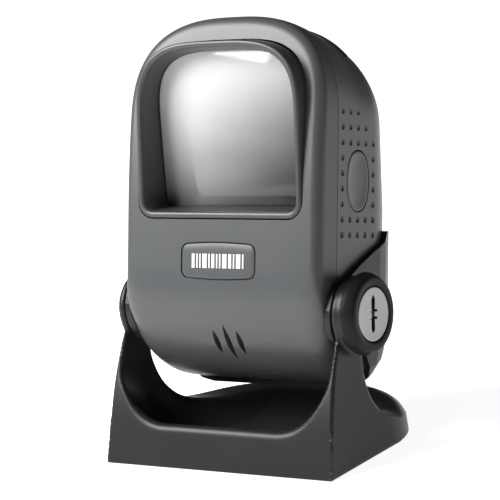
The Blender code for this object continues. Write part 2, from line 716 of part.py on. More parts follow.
def build_rear_shell(head, plastic, lens, steel):
    """The back of the head, with holes for the side buttons, the light bar and the socket."""
    shell = add_object("rear_shell", head_solid(0.0), plastic, head)
    cut(shell, "rear_hollow", head_solid(WALL, (4, 6)), head)
    keep_inside(shell, "rear_side", prism(seam_region(1, GAP), -60.0, 60.0, "x"), head)
    y, z = BUTTON_CENTRE
    for side, name in ((-1, "left"), (1, "right")):
        hole = prism(button_outline(0.35), side * 37.0, side * 46.0, "x")
        cut(shell, "button_hole_" + name, hole, head, (0, y, z))
    start, end = LIGHT_BAR_Y
    slot = light_bar_shape(start - GAP, end + GAP, -2.0, 5.0, LIGHT_BAR_REACH + GAP)
    cut(shell, "light_slot", slot, head)
    add_object("status_light_bar", light_bar_shape(start, end, 0.7, 2.6, LIGHT_BAR_REACH), lens, head)
    width, _, height = SOCKET_SIZE
    hole = box((-width / 2 - GAP, 25.0, -height / 2 - GAP), (width / 2 + GAP, 45.0, height / 2 + GAP))
    cut(shell, "socket_hole", hole, head, (0, 0, SOCKET_CENTRE_Z))
    for place, (x, z) in SHELL_SCREW_PLACES.items():
        face = HEAD_REAR + rear_shift(z)
        sink = turned([(face - SHELL_SINK_DEPTH, SHELL_SINK_RADIUS), (face + 3, SHELL_SINK_RADIUS)], 16, "y")
        cut(shell, "screw_sink_" + place, sink, head, (x, 0, z))
        hole = turned([(face - 5, SCREW_HOLE_RADIUS), (face + 3, SCREW_HOLE_RADIUS)], 12, "y")
        cut(shell, "screw_hole_" + place, hole, head, (x, 0, z))
        top = face - 0.1
        shank, rim = SHELL_SCREW_SHANK_RADIUS, SHELL_SCREW_HEAD_RADIUS
        profile = [(face - SHELL_SCREW_LENGTH, shank), (top - 0.81, shank), (top - 0.8, rim), (top - 0.2, rim)]
        profile.append((top, rim - 0.4))
        add_object("shell_screw_" + place, turned(profile, 12, "y"), steel, head, (x, 0, z))


def build_triggers(head, plastic, board, switch):
    """The two side buttons, and the switch and small board behind each."""
    y, z = BUTTON_CENTRE
    face = side_face(y)
    flange_out = face - WALL - BUTTON_FLANGE_GAP
    flange_in = flange_out - BUTTON_FLANGE_THICKNESS
    tip = flange_in - BUTTON_TRAVEL - GAP
    for side, name in ((-1, "left"), (1, "right")):
        outlines = [
            (flange_in, button_outline(BUTTON_FLANGE)),
            (flange_out, button_outline(BUTTON_FLANGE)),
            (flange_out, button_outline(0.0)),
            (face - 0.5, button_outline(0.0)),
            (face, button_outline(-0.6)),
        ]
        rings = [[(side * (x - face), a, b) for a, b in outline] for x, outline in outlines]
        add_object("trigger_button_" + name, loft(rings), plastic, head, (side * face, y, z))
        half, front = SWITCH_HALF_SIZE, tip - PLUNGER_LENGTH
        body = box((side * (front - SWITCH_DEPTH), -half, -half), (side * front, half, half))
        switch_object = add_object("trigger_switch_" + name, body, switch, head, (0, y, z))
        plunger = disc_x(side, front - 0.6, tip, PLUNGER_RADIUS, 12)
        join(switch_object, "plunger_" + name, plunger, head, (0, y, z))
        half_y, half_z = TRIGGER_BOARD_HALF
        front -= SWITCH_DEPTH + GAP
        plate = box((side * (front - BOARD_THICKNESS), -half_y, -half_z), (side * front, half_y, half_z))
        add_object("trigger_board_" + name, plate, board, head, (0, y, z))


def build_socket_board(head, board, plastic):
    """The lower board with the cable socket at the back and the buzzer behind the slots."""
    width, depth, height = SOCKET_SIZE
    floor = SOCKET_CENTRE_Z - height / 2
    rear = HEAD_REAR - 0.6
    socket = box((-width / 2, rear - depth, floor), (width / 2, rear, floor + height))
    socket = add_object("cable_socket", socket, plastic, head)
    wide, deep, tall = SOCKET_CAVITY
    cavity = box((-wide / 2, rear - deep, -tall / 2), (wide / 2, rear + 5, tall / 2))
    cut(socket, "plug_cavity", cavity, head, (0, 0, SOCKET_CENTRE_Z))
    plate = box((*IO_BOARD_LOW, floor - GAP - BOARD_THICKNESS), (*IO_BOARD_HIGH, floor - GAP))
    add_object("io_board", plate, board, head)
    top = floor + BUZZER_HEIGHT
    can = [(floor, BUZZER_RADIUS), (top - 0.2, BUZZER_RADIUS), (top, BUZZER_RADIUS - 0.4)]
    add_object("buzzer", turned(can, 20, "z"), plastic, head, (0, BUZZER_Y, 0))


def build_optics(head, spin_frame, metal, mirror, board, brass):
    """The scan engine: a spinning polygon, the mirrors that fan its lines, and the receiver."""
    frame = add_object("optics_frame", box((*SHELF_LOW, SHELF_Z), (*SHELF_HIGH, SHELF_TOP)), metal, head)
    rear = SHELF_HIGH[1]
    low = (-BACK_PLATE_HALF_WIDTH, rear - BACK_PLATE_THICKNESS, SHELF_Z + 0.1)
    join(frame, "back_plate", box(low, (BACK_PLATE_HALF_WIDTH, rear, BACK_PLATE_TOP)), head)
    top = SHELF_TOP
    motor = [(top + GAP, MOTOR_RADIUS), (top + 4.6, MOTOR_RADIUS), (top + 5.0, MOTOR_RADIUS - 0.4)]
    motor += [(top + 5.01, SPINDLE_RADIUS), (top + POLYGON_FLOAT + POLYGON_HEIGHT, SPINDLE_RADIUS)]
    add_object("spindle_motor", turned(motor, 24, "z"), metal, head, (0, SPINDLE_Y, 0))

    rings = []
    levels = ((0.0, -0.5), (POLYGON_HEIGHT, 0.0), (POLYGON_HEIGHT + 0.2, -0.6))
    for height, grow in levels:
        rings.append([(a, b, height) for a, b in circle(POLYGON_RADIUS + grow, POLYGON_SIDES)])
    polygon = add_object("polygon_mirror", loft(rings), mirror, spin_frame)
    cut(polygon, "spindle_bore", turned([(-2.0, 1.6), (12.0, 1.6)], 16, "z"), spin_frame)

    for index in range(MIRROR_COUNT):
        across = index - (MIRROR_COUNT - 1) / 2
        half = [size / 2 for size in MIRROR_SIZE]
        plate = box([-size for size in half], half)
        place = (across * MIRROR_PITCH, MIRROR_ROW[0] - MIRROR_ROW_BOW * across**2, MIRROR_ROW[1])
        turn = (math.radians(MIRROR_TILT), 0, math.radians(MIRROR_FAN * across))
        add_object(f"pattern_mirror_{index + 1}", plate, mirror, head, place, turn)
    bowl = []
    reach, half = COLLECTOR_HALF_SIZE
    for step in range(7):
        x = -reach + 2 * reach * step / 6
        front = -COLLECTOR_CURVE * x * x
        back = COLLECTOR_THICKNESS + front
        bowl.append([(x, front, -half), (x, front, half), (x, back, half), (x, back, -half)])
    tilt = (math.radians(COLLECTOR_TILT), 0, 0)
    add_object("collecting_mirror", loft(bowl), mirror, head, COLLECTOR_PLACE, tilt)
    add_object("photodiode_board", box(*PHOTODIODE_BOX), board, head)
    add_object("laser_module", turned(LASER_PROFILE, 20), brass, head, LASER_PLACE)
    add_object("main_board", box(*MAIN_BOARD_BOX), board, head)


def main():
    clear_scene()
    shell_grey = make_material("shell_grey_plastic", (0.075, 0.08, 0.082), 0.42)
    stand_black = make_material("stand_black_plastic", (0.03, 0.032, 0.034), 0.45)
    knob_black = make_material("knob_black_plastic", (0.02, 0.021, 0.022), 0.5)
    brushed = make_material("brushed_steel", (0.6, 0.61, 0.6), 0.35, 1.0)
    steel = make_material("zinc_steel", (0.45, 0.45, 0.46), 0.4, 1.0)
    rubber = make_material("black_rubber", (0.015, 0.015, 0.015), 0.85)
    fibre = make_material("friction_fibre", (0.25, 0.16, 0.08), 0.9)
    glass = make_material("window_glass", (0.5, 0.48, 0.47), 0.03, 0.0, 0.85)
    lens = make_material("smoked_lens", (0.03, 0.03, 0.035), 0.12)
    mirror = make_material("front_surface_mirror", (0.85, 0.86, 0.88), 0.04, 1.0)
    board = make_material("circuit_board", (0.02, 0.16, 0.07), 0.5)
    brass = make_material("brass", (0.75, 0.55, 0.25), 0.3, 1.0)
    metal = make_material("cast_frame", (0.35, 0.35, 0.36), 0.5, 1.0)
    socket_black = make_material("socket_black_plastic", (0.02, 0.02, 0.02), 0.55)

    stand = make_frame("stand_frame", None, STAND_ZERO)
    head = make_frame("head_frame", stand, (0, PIVOT_Y, PIVOT_Z), -REST_LEAN)
    knob_frame = make_frame("knob_frame", stand, (0, PIVOT_Y, PIVOT_Z))
    window = make_frame("window_frame", head, WINDOW_HINGE, WINDOW_LEAN)
    spin_frame = make_frame("spin_frame", head, (0, SPINDLE_Y, SHELF_TOP + POLYGON_FLOAT))

    build_yoke(stand, stand_black)
    build_base_fittings(stand, stand_black, steel, rubber)
    build_pivots(stand, knob_frame, knob_black, brushed, fibre)
    build_cradle(head, stand_black)
    build_front_shell(head, window, shell_grey, shell_grey)
    build_window(window, shell_grey, rubber, glass)
    build_rear_shell(head, shell_grey, lens, steel)
    build_triggers(head, shell_grey, board, socket_black)
    build_socket_board(head, board, socket_black)
    build_optics(head, spin_frame, metal, mirror, board, brass)


if __name__ == "__main__":
    main()
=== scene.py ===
"""Finished look of a hands-free counter scanner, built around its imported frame.

Sizes are in millimetres in the frame of each sub-assembly and become metres when a mesh is made.
The stand frame starts at the middle of the base's front bottom edge. The head frame sits on the
tilt axis and leans back with the head: x across, y to the back, z up along the head. The window
frame leans forward from the head frame, along the face of the window bezel.
"""

import json
import logging
import math
from collections.abc import Callable, Iterable, Sequence
from dataclasses import dataclass
from enum import Enum

import bmesh
import bpy
import numpy as np
from mathutils import Matrix, Vector


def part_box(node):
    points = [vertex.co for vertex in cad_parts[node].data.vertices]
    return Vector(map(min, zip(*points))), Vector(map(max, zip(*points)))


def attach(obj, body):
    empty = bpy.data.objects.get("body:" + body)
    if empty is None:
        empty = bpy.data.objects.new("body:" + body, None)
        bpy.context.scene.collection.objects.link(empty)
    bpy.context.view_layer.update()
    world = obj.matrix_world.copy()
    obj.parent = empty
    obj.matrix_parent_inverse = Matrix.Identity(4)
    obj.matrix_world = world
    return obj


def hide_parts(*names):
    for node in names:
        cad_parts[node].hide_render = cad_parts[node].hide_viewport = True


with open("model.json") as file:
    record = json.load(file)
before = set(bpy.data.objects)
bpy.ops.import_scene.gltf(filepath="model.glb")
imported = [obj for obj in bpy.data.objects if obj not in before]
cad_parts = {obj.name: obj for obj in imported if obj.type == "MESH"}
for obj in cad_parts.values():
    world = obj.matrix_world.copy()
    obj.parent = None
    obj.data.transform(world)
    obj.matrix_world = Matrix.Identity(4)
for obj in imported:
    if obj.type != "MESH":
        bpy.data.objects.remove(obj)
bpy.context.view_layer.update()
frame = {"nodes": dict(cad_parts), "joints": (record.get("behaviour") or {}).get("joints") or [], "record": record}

LOG = logging.getLogger("counter_scanner")
MM = 0.001
GAP = 0.3
SOFTEN_ANGLE = 40.0
SOFTEN_STEPS = 2
ARCH_SWEEP = 88.0
Point2 = tuple[float, float]
Point3 = tuple[float, float, float]
Ring = list[Point3]


class Side(Enum):
    """The two sides of the object, as seen from its front."""

    LEFT = -1
    RIGHT = 1

    @property
    def label(self) -> str:
        """The side's word in node names."""
        return self.name.lower()


class Axis(Enum):
    """How the (a, b) points of an outline and its depth d become x, y, z."""

    X = "x"
    Y = "y"
    Z = "z"

    def place(self, a: float, b: float, d: float) -> Point3:
        """Put an outline's point (a, b) at a depth d along this axis."""
        return {Axis.X: (d, a, b), Axis.Y: (a, d, b), Axis.Z: (a, b, d)}[self]


# --- Shader toolkit


class Signal:
    """A value travelling through a material's nodes, with arithmetic that adds Math nodes."""

    def __init__(self, shader: "Shader", socket: bpy.types.NodeSocket) -> None:
        """Hold an output socket of one shader."""
        self.shader = shader
        self.socket = socket

    def _with(self, operation: str, first: "Signal | float", second: "Signal | float") -> "Signal":
        """Result of a Math node on two values."""
        return self.shader.node("ShaderNodeMath", {"operation": operation}, {0: first, 1: second})

    def __add__(self, other: "Signal | float") -> "Signal":
        """Sum of this and another value."""
        return self._with("ADD", self, other)

    __radd__ = __add__

    def __mul__(self, other: "Signal | float") -> "Signal":
        """Product of this and another value."""
        return self._with("MULTIPLY", self, other)

    __rmul__ = __mul__


Colour = tuple[float, float, float]


class Shader:
    """A material with one Principled BSDF, wired by expressions."""

    def __init__(self, name: str) -> None:
        """Start a material of a given name."""
        self.material = bpy.data.materials.new(name)
        self.material.use_nodes = True
        self.tree = self.material.node_tree
        self.surface = self.tree.nodes["Principled BSDF"]

    def node(self, kind: str, settings: dict[str, object], sockets: dict[object, object],
             out: object = 0) -> Signal:
        """Add any node.

        Args:
            kind: The node's type.
            settings: Properties set first; "stops" fills a colour ramp.
            sockets: Values or links of its input sockets, by name or index.
            out: The output wanted, by name or index.

        Returns:
            The chosen output.
        """
        made = self.tree.nodes.new(kind)
        for key, value in settings.items():
            if key == "stops":
                self._fill_ramp(made.color_ramp, value)
            else:
                setattr(made, key, value)
        for key, value in sockets.items():
            self._feed(made.inputs[key], value)
        return Signal(self, made.outputs[out])

    @staticmethod
    def _fill_ramp(ramp: bpy.types.ColorRamp, stops: Sequence[tuple[float, Colour]]) -> None:
        """Set the stops of a colour ramp.

        Args:
            ramp: The ramp.
            stops: Positions and colours, in order.
        """
        for index, (position, colour) in enumerate(stops):
            element = ramp.elements[index] if index < 2 else ramp.elements.new(position)
            element.position = position
            element.color = (*colour, 1.0)

    def _feed(self, socket: bpy.types.NodeSocket, value: object) -> None:
        """Link a signal into a socket, or set the socket's own value.

        Args:
            socket: The input socket.
            value: A signal, a number or a tuple.
        """
        if isinstance(value, Signal):
            self.tree.links.new(value.socket, socket)
        elif socket.type == "RGBA" and len(value) == 3:
            socket.default_value = (*value, 1.0)
        else:
            socket.default_value = value

    def set(self, **sockets: object) -> None:
        """Feed the Principled BSDF by socket name; underscores in the names stand for spaces."""
        for key, value in sockets.items():
            self._feed(self.surface.inputs[key.replace("_", " ")], value)

    def place(self, stretch: Point3 = (1.0, 1.0, 1.0)) -> Signal:
        """Position on the piece in its own frame, stretched along its axes."""
        spot = self.node("ShaderNodeTexCoord", {}, {}, "Object")
        return self.node("ShaderNodeMapping", {}, {"Vector": spot, "Scale": stretch})

    def noise(self, size_mm: float, detail: float = 2.0, stretch: Point3 = (1.0, 1.0, 1.0)) -> Signal:
        """Smooth noise whose features are about a size across.

        Args:
            size_mm: Feature size in millimetres.
            detail: Octaves of finer noise.
            stretch: Scale along each axis.

        Returns:
            A value around 0.5.
        """
        sockets = {"Vector": self.place(stretch), "Scale": 1.0 / (size_mm * MM), "Detail": detail}
        return self.node("ShaderNodeTexNoise", {}, sockets, "Fac")

    def mix(self, share: Signal | float, low: object, high: object) -> Signal:
        """Blend from one colour, at a share of 0, to another, at a share of 1."""
        return self.node("ShaderNodeMix", {"data_type": "RGBA"}, {0: share, 6: low, 7: high}, 2)

    def ramp(self, value: Signal, stops: Sequence[tuple[float, Colour]]) -> Signal:
        """Colour by value, from stops of a position and a colour."""
        return self.node("ShaderNodeValToRGB", {"stops": stops}, {"Fac": value}, "Color")

    def bump(self, height: Signal, depth_mm: float, strength: float = 1.0) -> None:
        """Give the surface a relief of a height from 0 to 1, with a depth in millimetres and a strength."""
        sockets = {"Height": height, "Distance": depth_mm * MM, "Strength": strength}
        self.set(Normal=self.node("ShaderNodeBump", {}, sockets, "Normal"))


def shaded(colour: Colour, share: float) -> Colour:
    """A colour made darker or lighter by a share of itself."""
    return tuple(c * share for c in colour)


@dataclass(frozen=True)
class MouldedPlastic:
    """Satin injection-moulded plastic with a fine spark-eroded grain."""

    name: str
    colour: Colour
    roughness: float = 0.42
    grain_mm: float = 0.22
    grain_depth_mm: float = 0.012
    mottle: float = 0.10
    specular: float = 0.5

    def make(self) -> bpy.types.Material:
        """Build the material: grain in the relief, faint flow marks in colour and gloss."""
        shader = Shader(self.name)
        flow = shader.noise(26.0, 3.0)
        grain = shader.noise(self.grain_mm, 2.0)
        dark, light = shaded(self.colour, 1 - self.mottle), shaded(self.colour, 1 + self.mottle)
        shader.set(
            Base_Color=shader.mix(0.75 * flow + 0.25 * grain, dark, light),
            Roughness=(self.roughness - 0.05) + 0.06 * flow + 0.05 * grain,
            Specular_IOR_Level=self.specular,
        )
        shader.bump(grain, self.grain_depth_mm, 0.5)
        return shader.material


@dataclass(frozen=True)
class BrushedMetal:
    """Metal with fine brush lines along one direction."""

    name: str
    colour: Colour
    roughness: float = 0.3
    stretch: Point3 = (1.0, 1.0, 0.04)
    line_mm: float = 0.12

    def make(self) -> bpy.types.Material:
        """Build the material: brush lines in gloss and relief, faint staining in colour."""
        shader = Shader(self.name)
        lines = shader.noise(self.line_mm, 3.0, self.stretch)
        stain = shader.noise(5.0, 2.0)
        dark = shaded(self.colour, 0.86)
        shader.set(
            Base_Color=shader.mix(0.5 * stain + 0.5 * lines, dark, self.colour),
            Metallic=1.0,
            Roughness=(self.roughness - 0.08) + 0.16 * lines,
        )
        shader.bump(lines, 0.006, 0.35)
        return shader.material


@dataclass(frozen=True)
class Rubber:
    """Matt rubber with a dusty bloom."""

    name: str
    colour: Colour

    def make(self) -> bpy.types.Material:
        """Build the material: bloom in colour, pores in relief."""
        shader = Shader(self.name)
        bloom = shader.noise(3.0, 4.0)
        pores = shader.noise(0.3, 2.0)
        light = shaded(self.colour, 1.6)
        shader.set(Base_Color=shader.mix(bloom, self.colour, light), Roughness=0.78 + 0.14 * pores)
        shader.bump(pores, 0.02, 0.6)
        return shader.material


@dataclass(frozen=True)
class TintedPane:
    """Flat clear sheet with a smoke tint, seen through and reflecting."""

    name: str
    colour: Colour
    alpha: float
    roughness: float = 0.03

    def make(self) -> bpy.types.Material:
        """Build the material: faint wiping marks in the gloss."""
        shader = Shader(self.name)
        wipes = shader.noise(14.0, 4.0, (1.0, 1.0, 0.5))
        light = shaded(self.colour, 1.25)
        shader.set(
            Base_Color=shader.mix(wipes, self.colour, light),
            Roughness=self.roughness + 0.02 * wipes,
            Alpha=self.alpha,
            Specular_IOR_Level=0.75,
            IOR=1.52,
        )
        return shader.material


@dataclass(frozen=True)
class ReflectionPaintedPane:
    """Window glass whose colour carries a painted reflection, pale at the top left and dark at the bottom right.
    """

    name: str
    pale: Colour
    dark: Colour
    slope: Point3
    start: float
    end: float

    def make(self) -> bpy.types.Material:
        """Build the material: a painted reflection in the colour fades from pale to dark along a slope, with faint
        wiping marks in its gloss.
        """
        shader = Shader(self.name)
        spot = shader.node("ShaderNodeTexCoord", {}, {}, "Object")
        product = {"operation": "DOT_PRODUCT"}
        along = shader.node("ShaderNodeVectorMath", product, {0: spot, 1: self.slope}, "Value")
        settings = {"interpolation_type": "SMOOTHSTEP"}
        # painted reflection: the share of the pale colour falls off along the slope
        share = shader.node("ShaderNodeMapRange", settings, {0: along, 1: self.start, 2: self.end}, 0)
        wipes = shader.noise(14.0, 4.0, (1.0, 1.0, 0.5))
        shader.set(
            Base_Color=shader.mix(share + 0.05 * wipes, self.dark, self.pale),
            Roughness=0.04 + 0.04 * wipes,
            Alpha=0.93 + 0.06 * share,
            Specular_IOR_Level=0.35,
        )
        return shader.material


@dataclass(frozen=True)
class Mirror:
    """Front-silvered glass."""

    name: str
    colour: Colour

    def make(self) -> bpy.types.Material:
        """Build the material: dust in the gloss."""
        shader = Shader(self.name)
        dust = shader.noise(1.2, 4.0)
        dull = shaded(self.colour, 0.85)
        shader.set(
            Base_Color=shader.mix(dust, self.colour, dull),
            Metallic=1.0,
            Roughness=0.03 + 0.08 * dust,
        )
        return shader.material


@dataclass(frozen=True)
class CircuitBoard:
    """Solder mask over copper tracks and pads."""

    name: str
    mask: Colour
    copper: Colour

    def make(self) -> bpy.types.Material:
        """Build the material: tracks lie under the mask and pads are bare."""
        shader = Shader(self.name)
        cells = {"Vector": shader.place(), "Scale": 420.0}
        tracks = shader.node("ShaderNodeTexVoronoi", {"feature": "DISTANCE_TO_EDGE"}, cells, "Distance")
        dots = shader.node("ShaderNodeTexVoronoi", {"feature": "F1"}, {**cells, "Scale": 300.0}, "Distance")
        on_track = shader.ramp(tracks, [(0.05, (1.0, 1.0, 1.0)), (0.09, (0.0, 0.0, 0.0))])
        on_pad = shader.ramp(dots, [(0.16, (1.0, 1.0, 1.0)), (0.19, (0.0, 0.0, 0.0))])
        under = tuple(0.6 * m + 0.15 * c for m, c in zip(self.mask, self.copper))
        masked = shader.mix(on_track, self.mask, under)
        shader.set(Base_Color=shader.mix(on_pad, masked, self.copper), Roughness=0.42, Metallic=0.6 * on_pad)
        shader.bump(on_track, 0.03, 0.5)
        return shader.material


@dataclass(frozen=True)
class Fibre:
    """Natural nylon, slightly mottled."""

    name: str
    colour: Colour

    def make(self) -> bpy.types.Material:
        """Build the material: mottled colour and gloss."""
        shader = Shader(self.name)
        mottle = shader.noise(1.5, 3.0)
        dark = shaded(self.colour, 0.8)
        shader.set(Base_Color=shader.mix(mottle, dark, self.colour), Roughness=0.45 + 0.15 * mottle)
        shader.bump(mottle, 0.02, 0.4)
        return shader.material


class Finishes:
    """Every finish on the object, made once and asked for by the record's slot names."""

    def __init__(self) -> None:
        """Make all materials."""
        makers = {
            "shell_grey": MouldedPlastic("shell_grey_plastic", (0.056, 0.059, 0.062), 0.34, specular=0.34),
            # A darker copy of the shell grey, painted shade for the window's rim and its shadowed tunnel.
            "bezel_grey": MouldedPlastic("bezel_grey_plastic", (0.040, 0.042, 0.045), 0.34, specular=0.4),
            "stand_black": MouldedPlastic("stand_black_plastic", (0.014, 0.0147, 0.0158), 0.34, specular=0.2),
            "knob_black": MouldedPlastic(
                "knob_black_plastic", (0.0100, 0.0104, 0.0110), 0.38, 0.4, 0.02, specular=0.1
            ),
            "mark_grey": MouldedPlastic("mark_pale_paint", (0.55, 0.56, 0.56), 0.45),
            "brushed_disc": BrushedMetal("brushed_disc", (0.30, 0.31, 0.305), 0.34),
            "zinc_steel": BrushedMetal("zinc_steel", (0.55, 0.55, 0.56), 0.35, (1.0, 1.0, 1.0), 0.6),
            "rubber": Rubber("black_rubber", (0.012, 0.012, 0.012)),
            "nylon": Fibre("natural_nylon", (0.62, 0.58, 0.48)),
            # the window glass's pale top left is a painted reflection, graded into the dark tint at the bottom
            # right
            "window_glass": ReflectionPaintedPane(
                "window_glass", (0.62, 0.62, 0.62), (0.022, 0.018, 0.017), (-0.45, 0.0, 1.0), 0.078, 0.162
            ),
            "smoked_lens": TintedPane("smoked_lens", (0.015, 0.015, 0.017), 0.93, 0.08),
            "mirror": Mirror("front_surface_mirror", (0.86, 0.87, 0.89)),
            "circuit_board": CircuitBoard("circuit_board", (0.012, 0.10, 0.045), (0.75, 0.5, 0.25)),
            "brass": BrushedMetal("turned_brass", (0.70, 0.50, 0.22), 0.3, (0.05, 1.0, 1.0)),
            "cast_frame": BrushedMetal("cast_frame", (0.30, 0.30, 0.31), 0.5, (1.0, 1.0, 1.0), 0.9),
            "socket_black": MouldedPlastic("socket_black_plastic", (0.008, 0.008, 0.008), 0.35),
        }
        self.by_slot = {slot: maker.make() for slot, maker in makers.items()}
        LOG.info("made %d finishes", len(self.by_slot))

    def __getitem__(self, slot: str) -> bpy.types.Material:
        """The material for a slot."""
        return self.by_slot[slot]


# --- Mesh toolkit


def arc(centre: Point2, radius: float, start: float, end: float, steps: int) -> list[Point2]:
    """Points on an arc.

    Args:
        centre: Centre of the arc.
        radius: Its radius.
        start: First angle in degrees.
        end: Last angle in degrees.
        steps: Number of equal steps.

    Returns:
        The points, both ends included.
    """
    turns = [math.radians(start + (end - start) * i / steps) for i in range(steps + 1)]
    return [(centre[0] + radius * math.cos(t), centre[1] + radius * math.sin(t)) for t in turns]


def circle(radius: float, sides: int) -> list[Point2]:
    """Points of a regular polygon on a circle."""
    return arc((0.0, 0.0), radius, 0, 360, sides)[:-1]


def rectangle(low: Point2, high: Point2) -> list[Point2]:
    """A rectangle from its lowest to its highest corner."""
    return [low, (high[0], low[1]), high, (low[0], high[1])]


def mirrored(right: Sequence[Point2]) -> list[Point2]:
    """A closed outline from its right half."""
    return list(right) + [(-x, z) for x, z in reversed(right)]


def stepped(along: float, radius: float, steps: Sequence[Point2]) -> list[Point2]:
    """Points of a turned profile, each given by its distances from one reference point."""
    return [(along + a, radius + b) for a, b in steps]


def share_between(value: float, start: float, end: float) -> float:
    """0 before the start, 1 after the end, and even steps between them."""
    return min(max((value - start) / (end - start), 0.0), 1.0)


def smooth_step(value: "np.ndarray | float", start: float, end: float) -> "np.ndarray | float":
    """0 before the start, 1 after the end, smooth between, on numbers and on arrays."""
    share = np.clip((value - start) / (end - start), 0, 1)
    return share * share * (3 - 2 * share)


def arched_side(half: float, low: float, top: float, corner: float, arch: tuple[float, float, float],
                steps: tuple[int, int, int]) -> list[Point2]:
    """Right half of an outline with a rounded bottom corner, a straight side and an arch.

    Args:
        half: Half width.
        low: Height of the bottom.
        top: Height of the arch's crown.
        corner: Radius of the bottom corner.
        arch: Height where the arch starts, power of its superellipse and the degrees that it runs.
        steps: Steps of the corner, the side and the arch.

    Returns:
        The points from the bottom to the top.
    """
    arch_start, power, sweep = arch
    right = arc((half - corner, low + corner), corner, -90, 0, steps[0])
    start = low + corner
    right += [(half, start + (arch_start - start) * i / steps[1]) for i in range(1, steps[1] + 1)]
    for step in range(1, steps[2] + 1):
        turn = math.radians(sweep * step / steps[2])
        x = half * math.cos(turn) ** (2 / power)
        right.append((x, arch_start + (top - arch_start) * math.sin(turn) ** (2 / power)))
    return right


def cut_corners(points: Sequence[Point2], rounds: int = 2) -> list[Point2]:
    """Round an open line by cutting its corners, keeping both ends.

    Args:
        points: The line.
        rounds: How often each corner is cut.

    Returns:
        The rounded line.
    """
    line = list(points)
    for _ in range(rounds):
        softer = [line[0]]
        for (a, b), (c, d) in zip(line, line[1:]):
            softer += [(0.75 * a + 0.25 * c, 0.75 * b + 0.25 * d), (0.25 * a + 0.75 * c, 0.25 * b + 0.75 * d)]
        line = softer + [line[-1]]
    return line


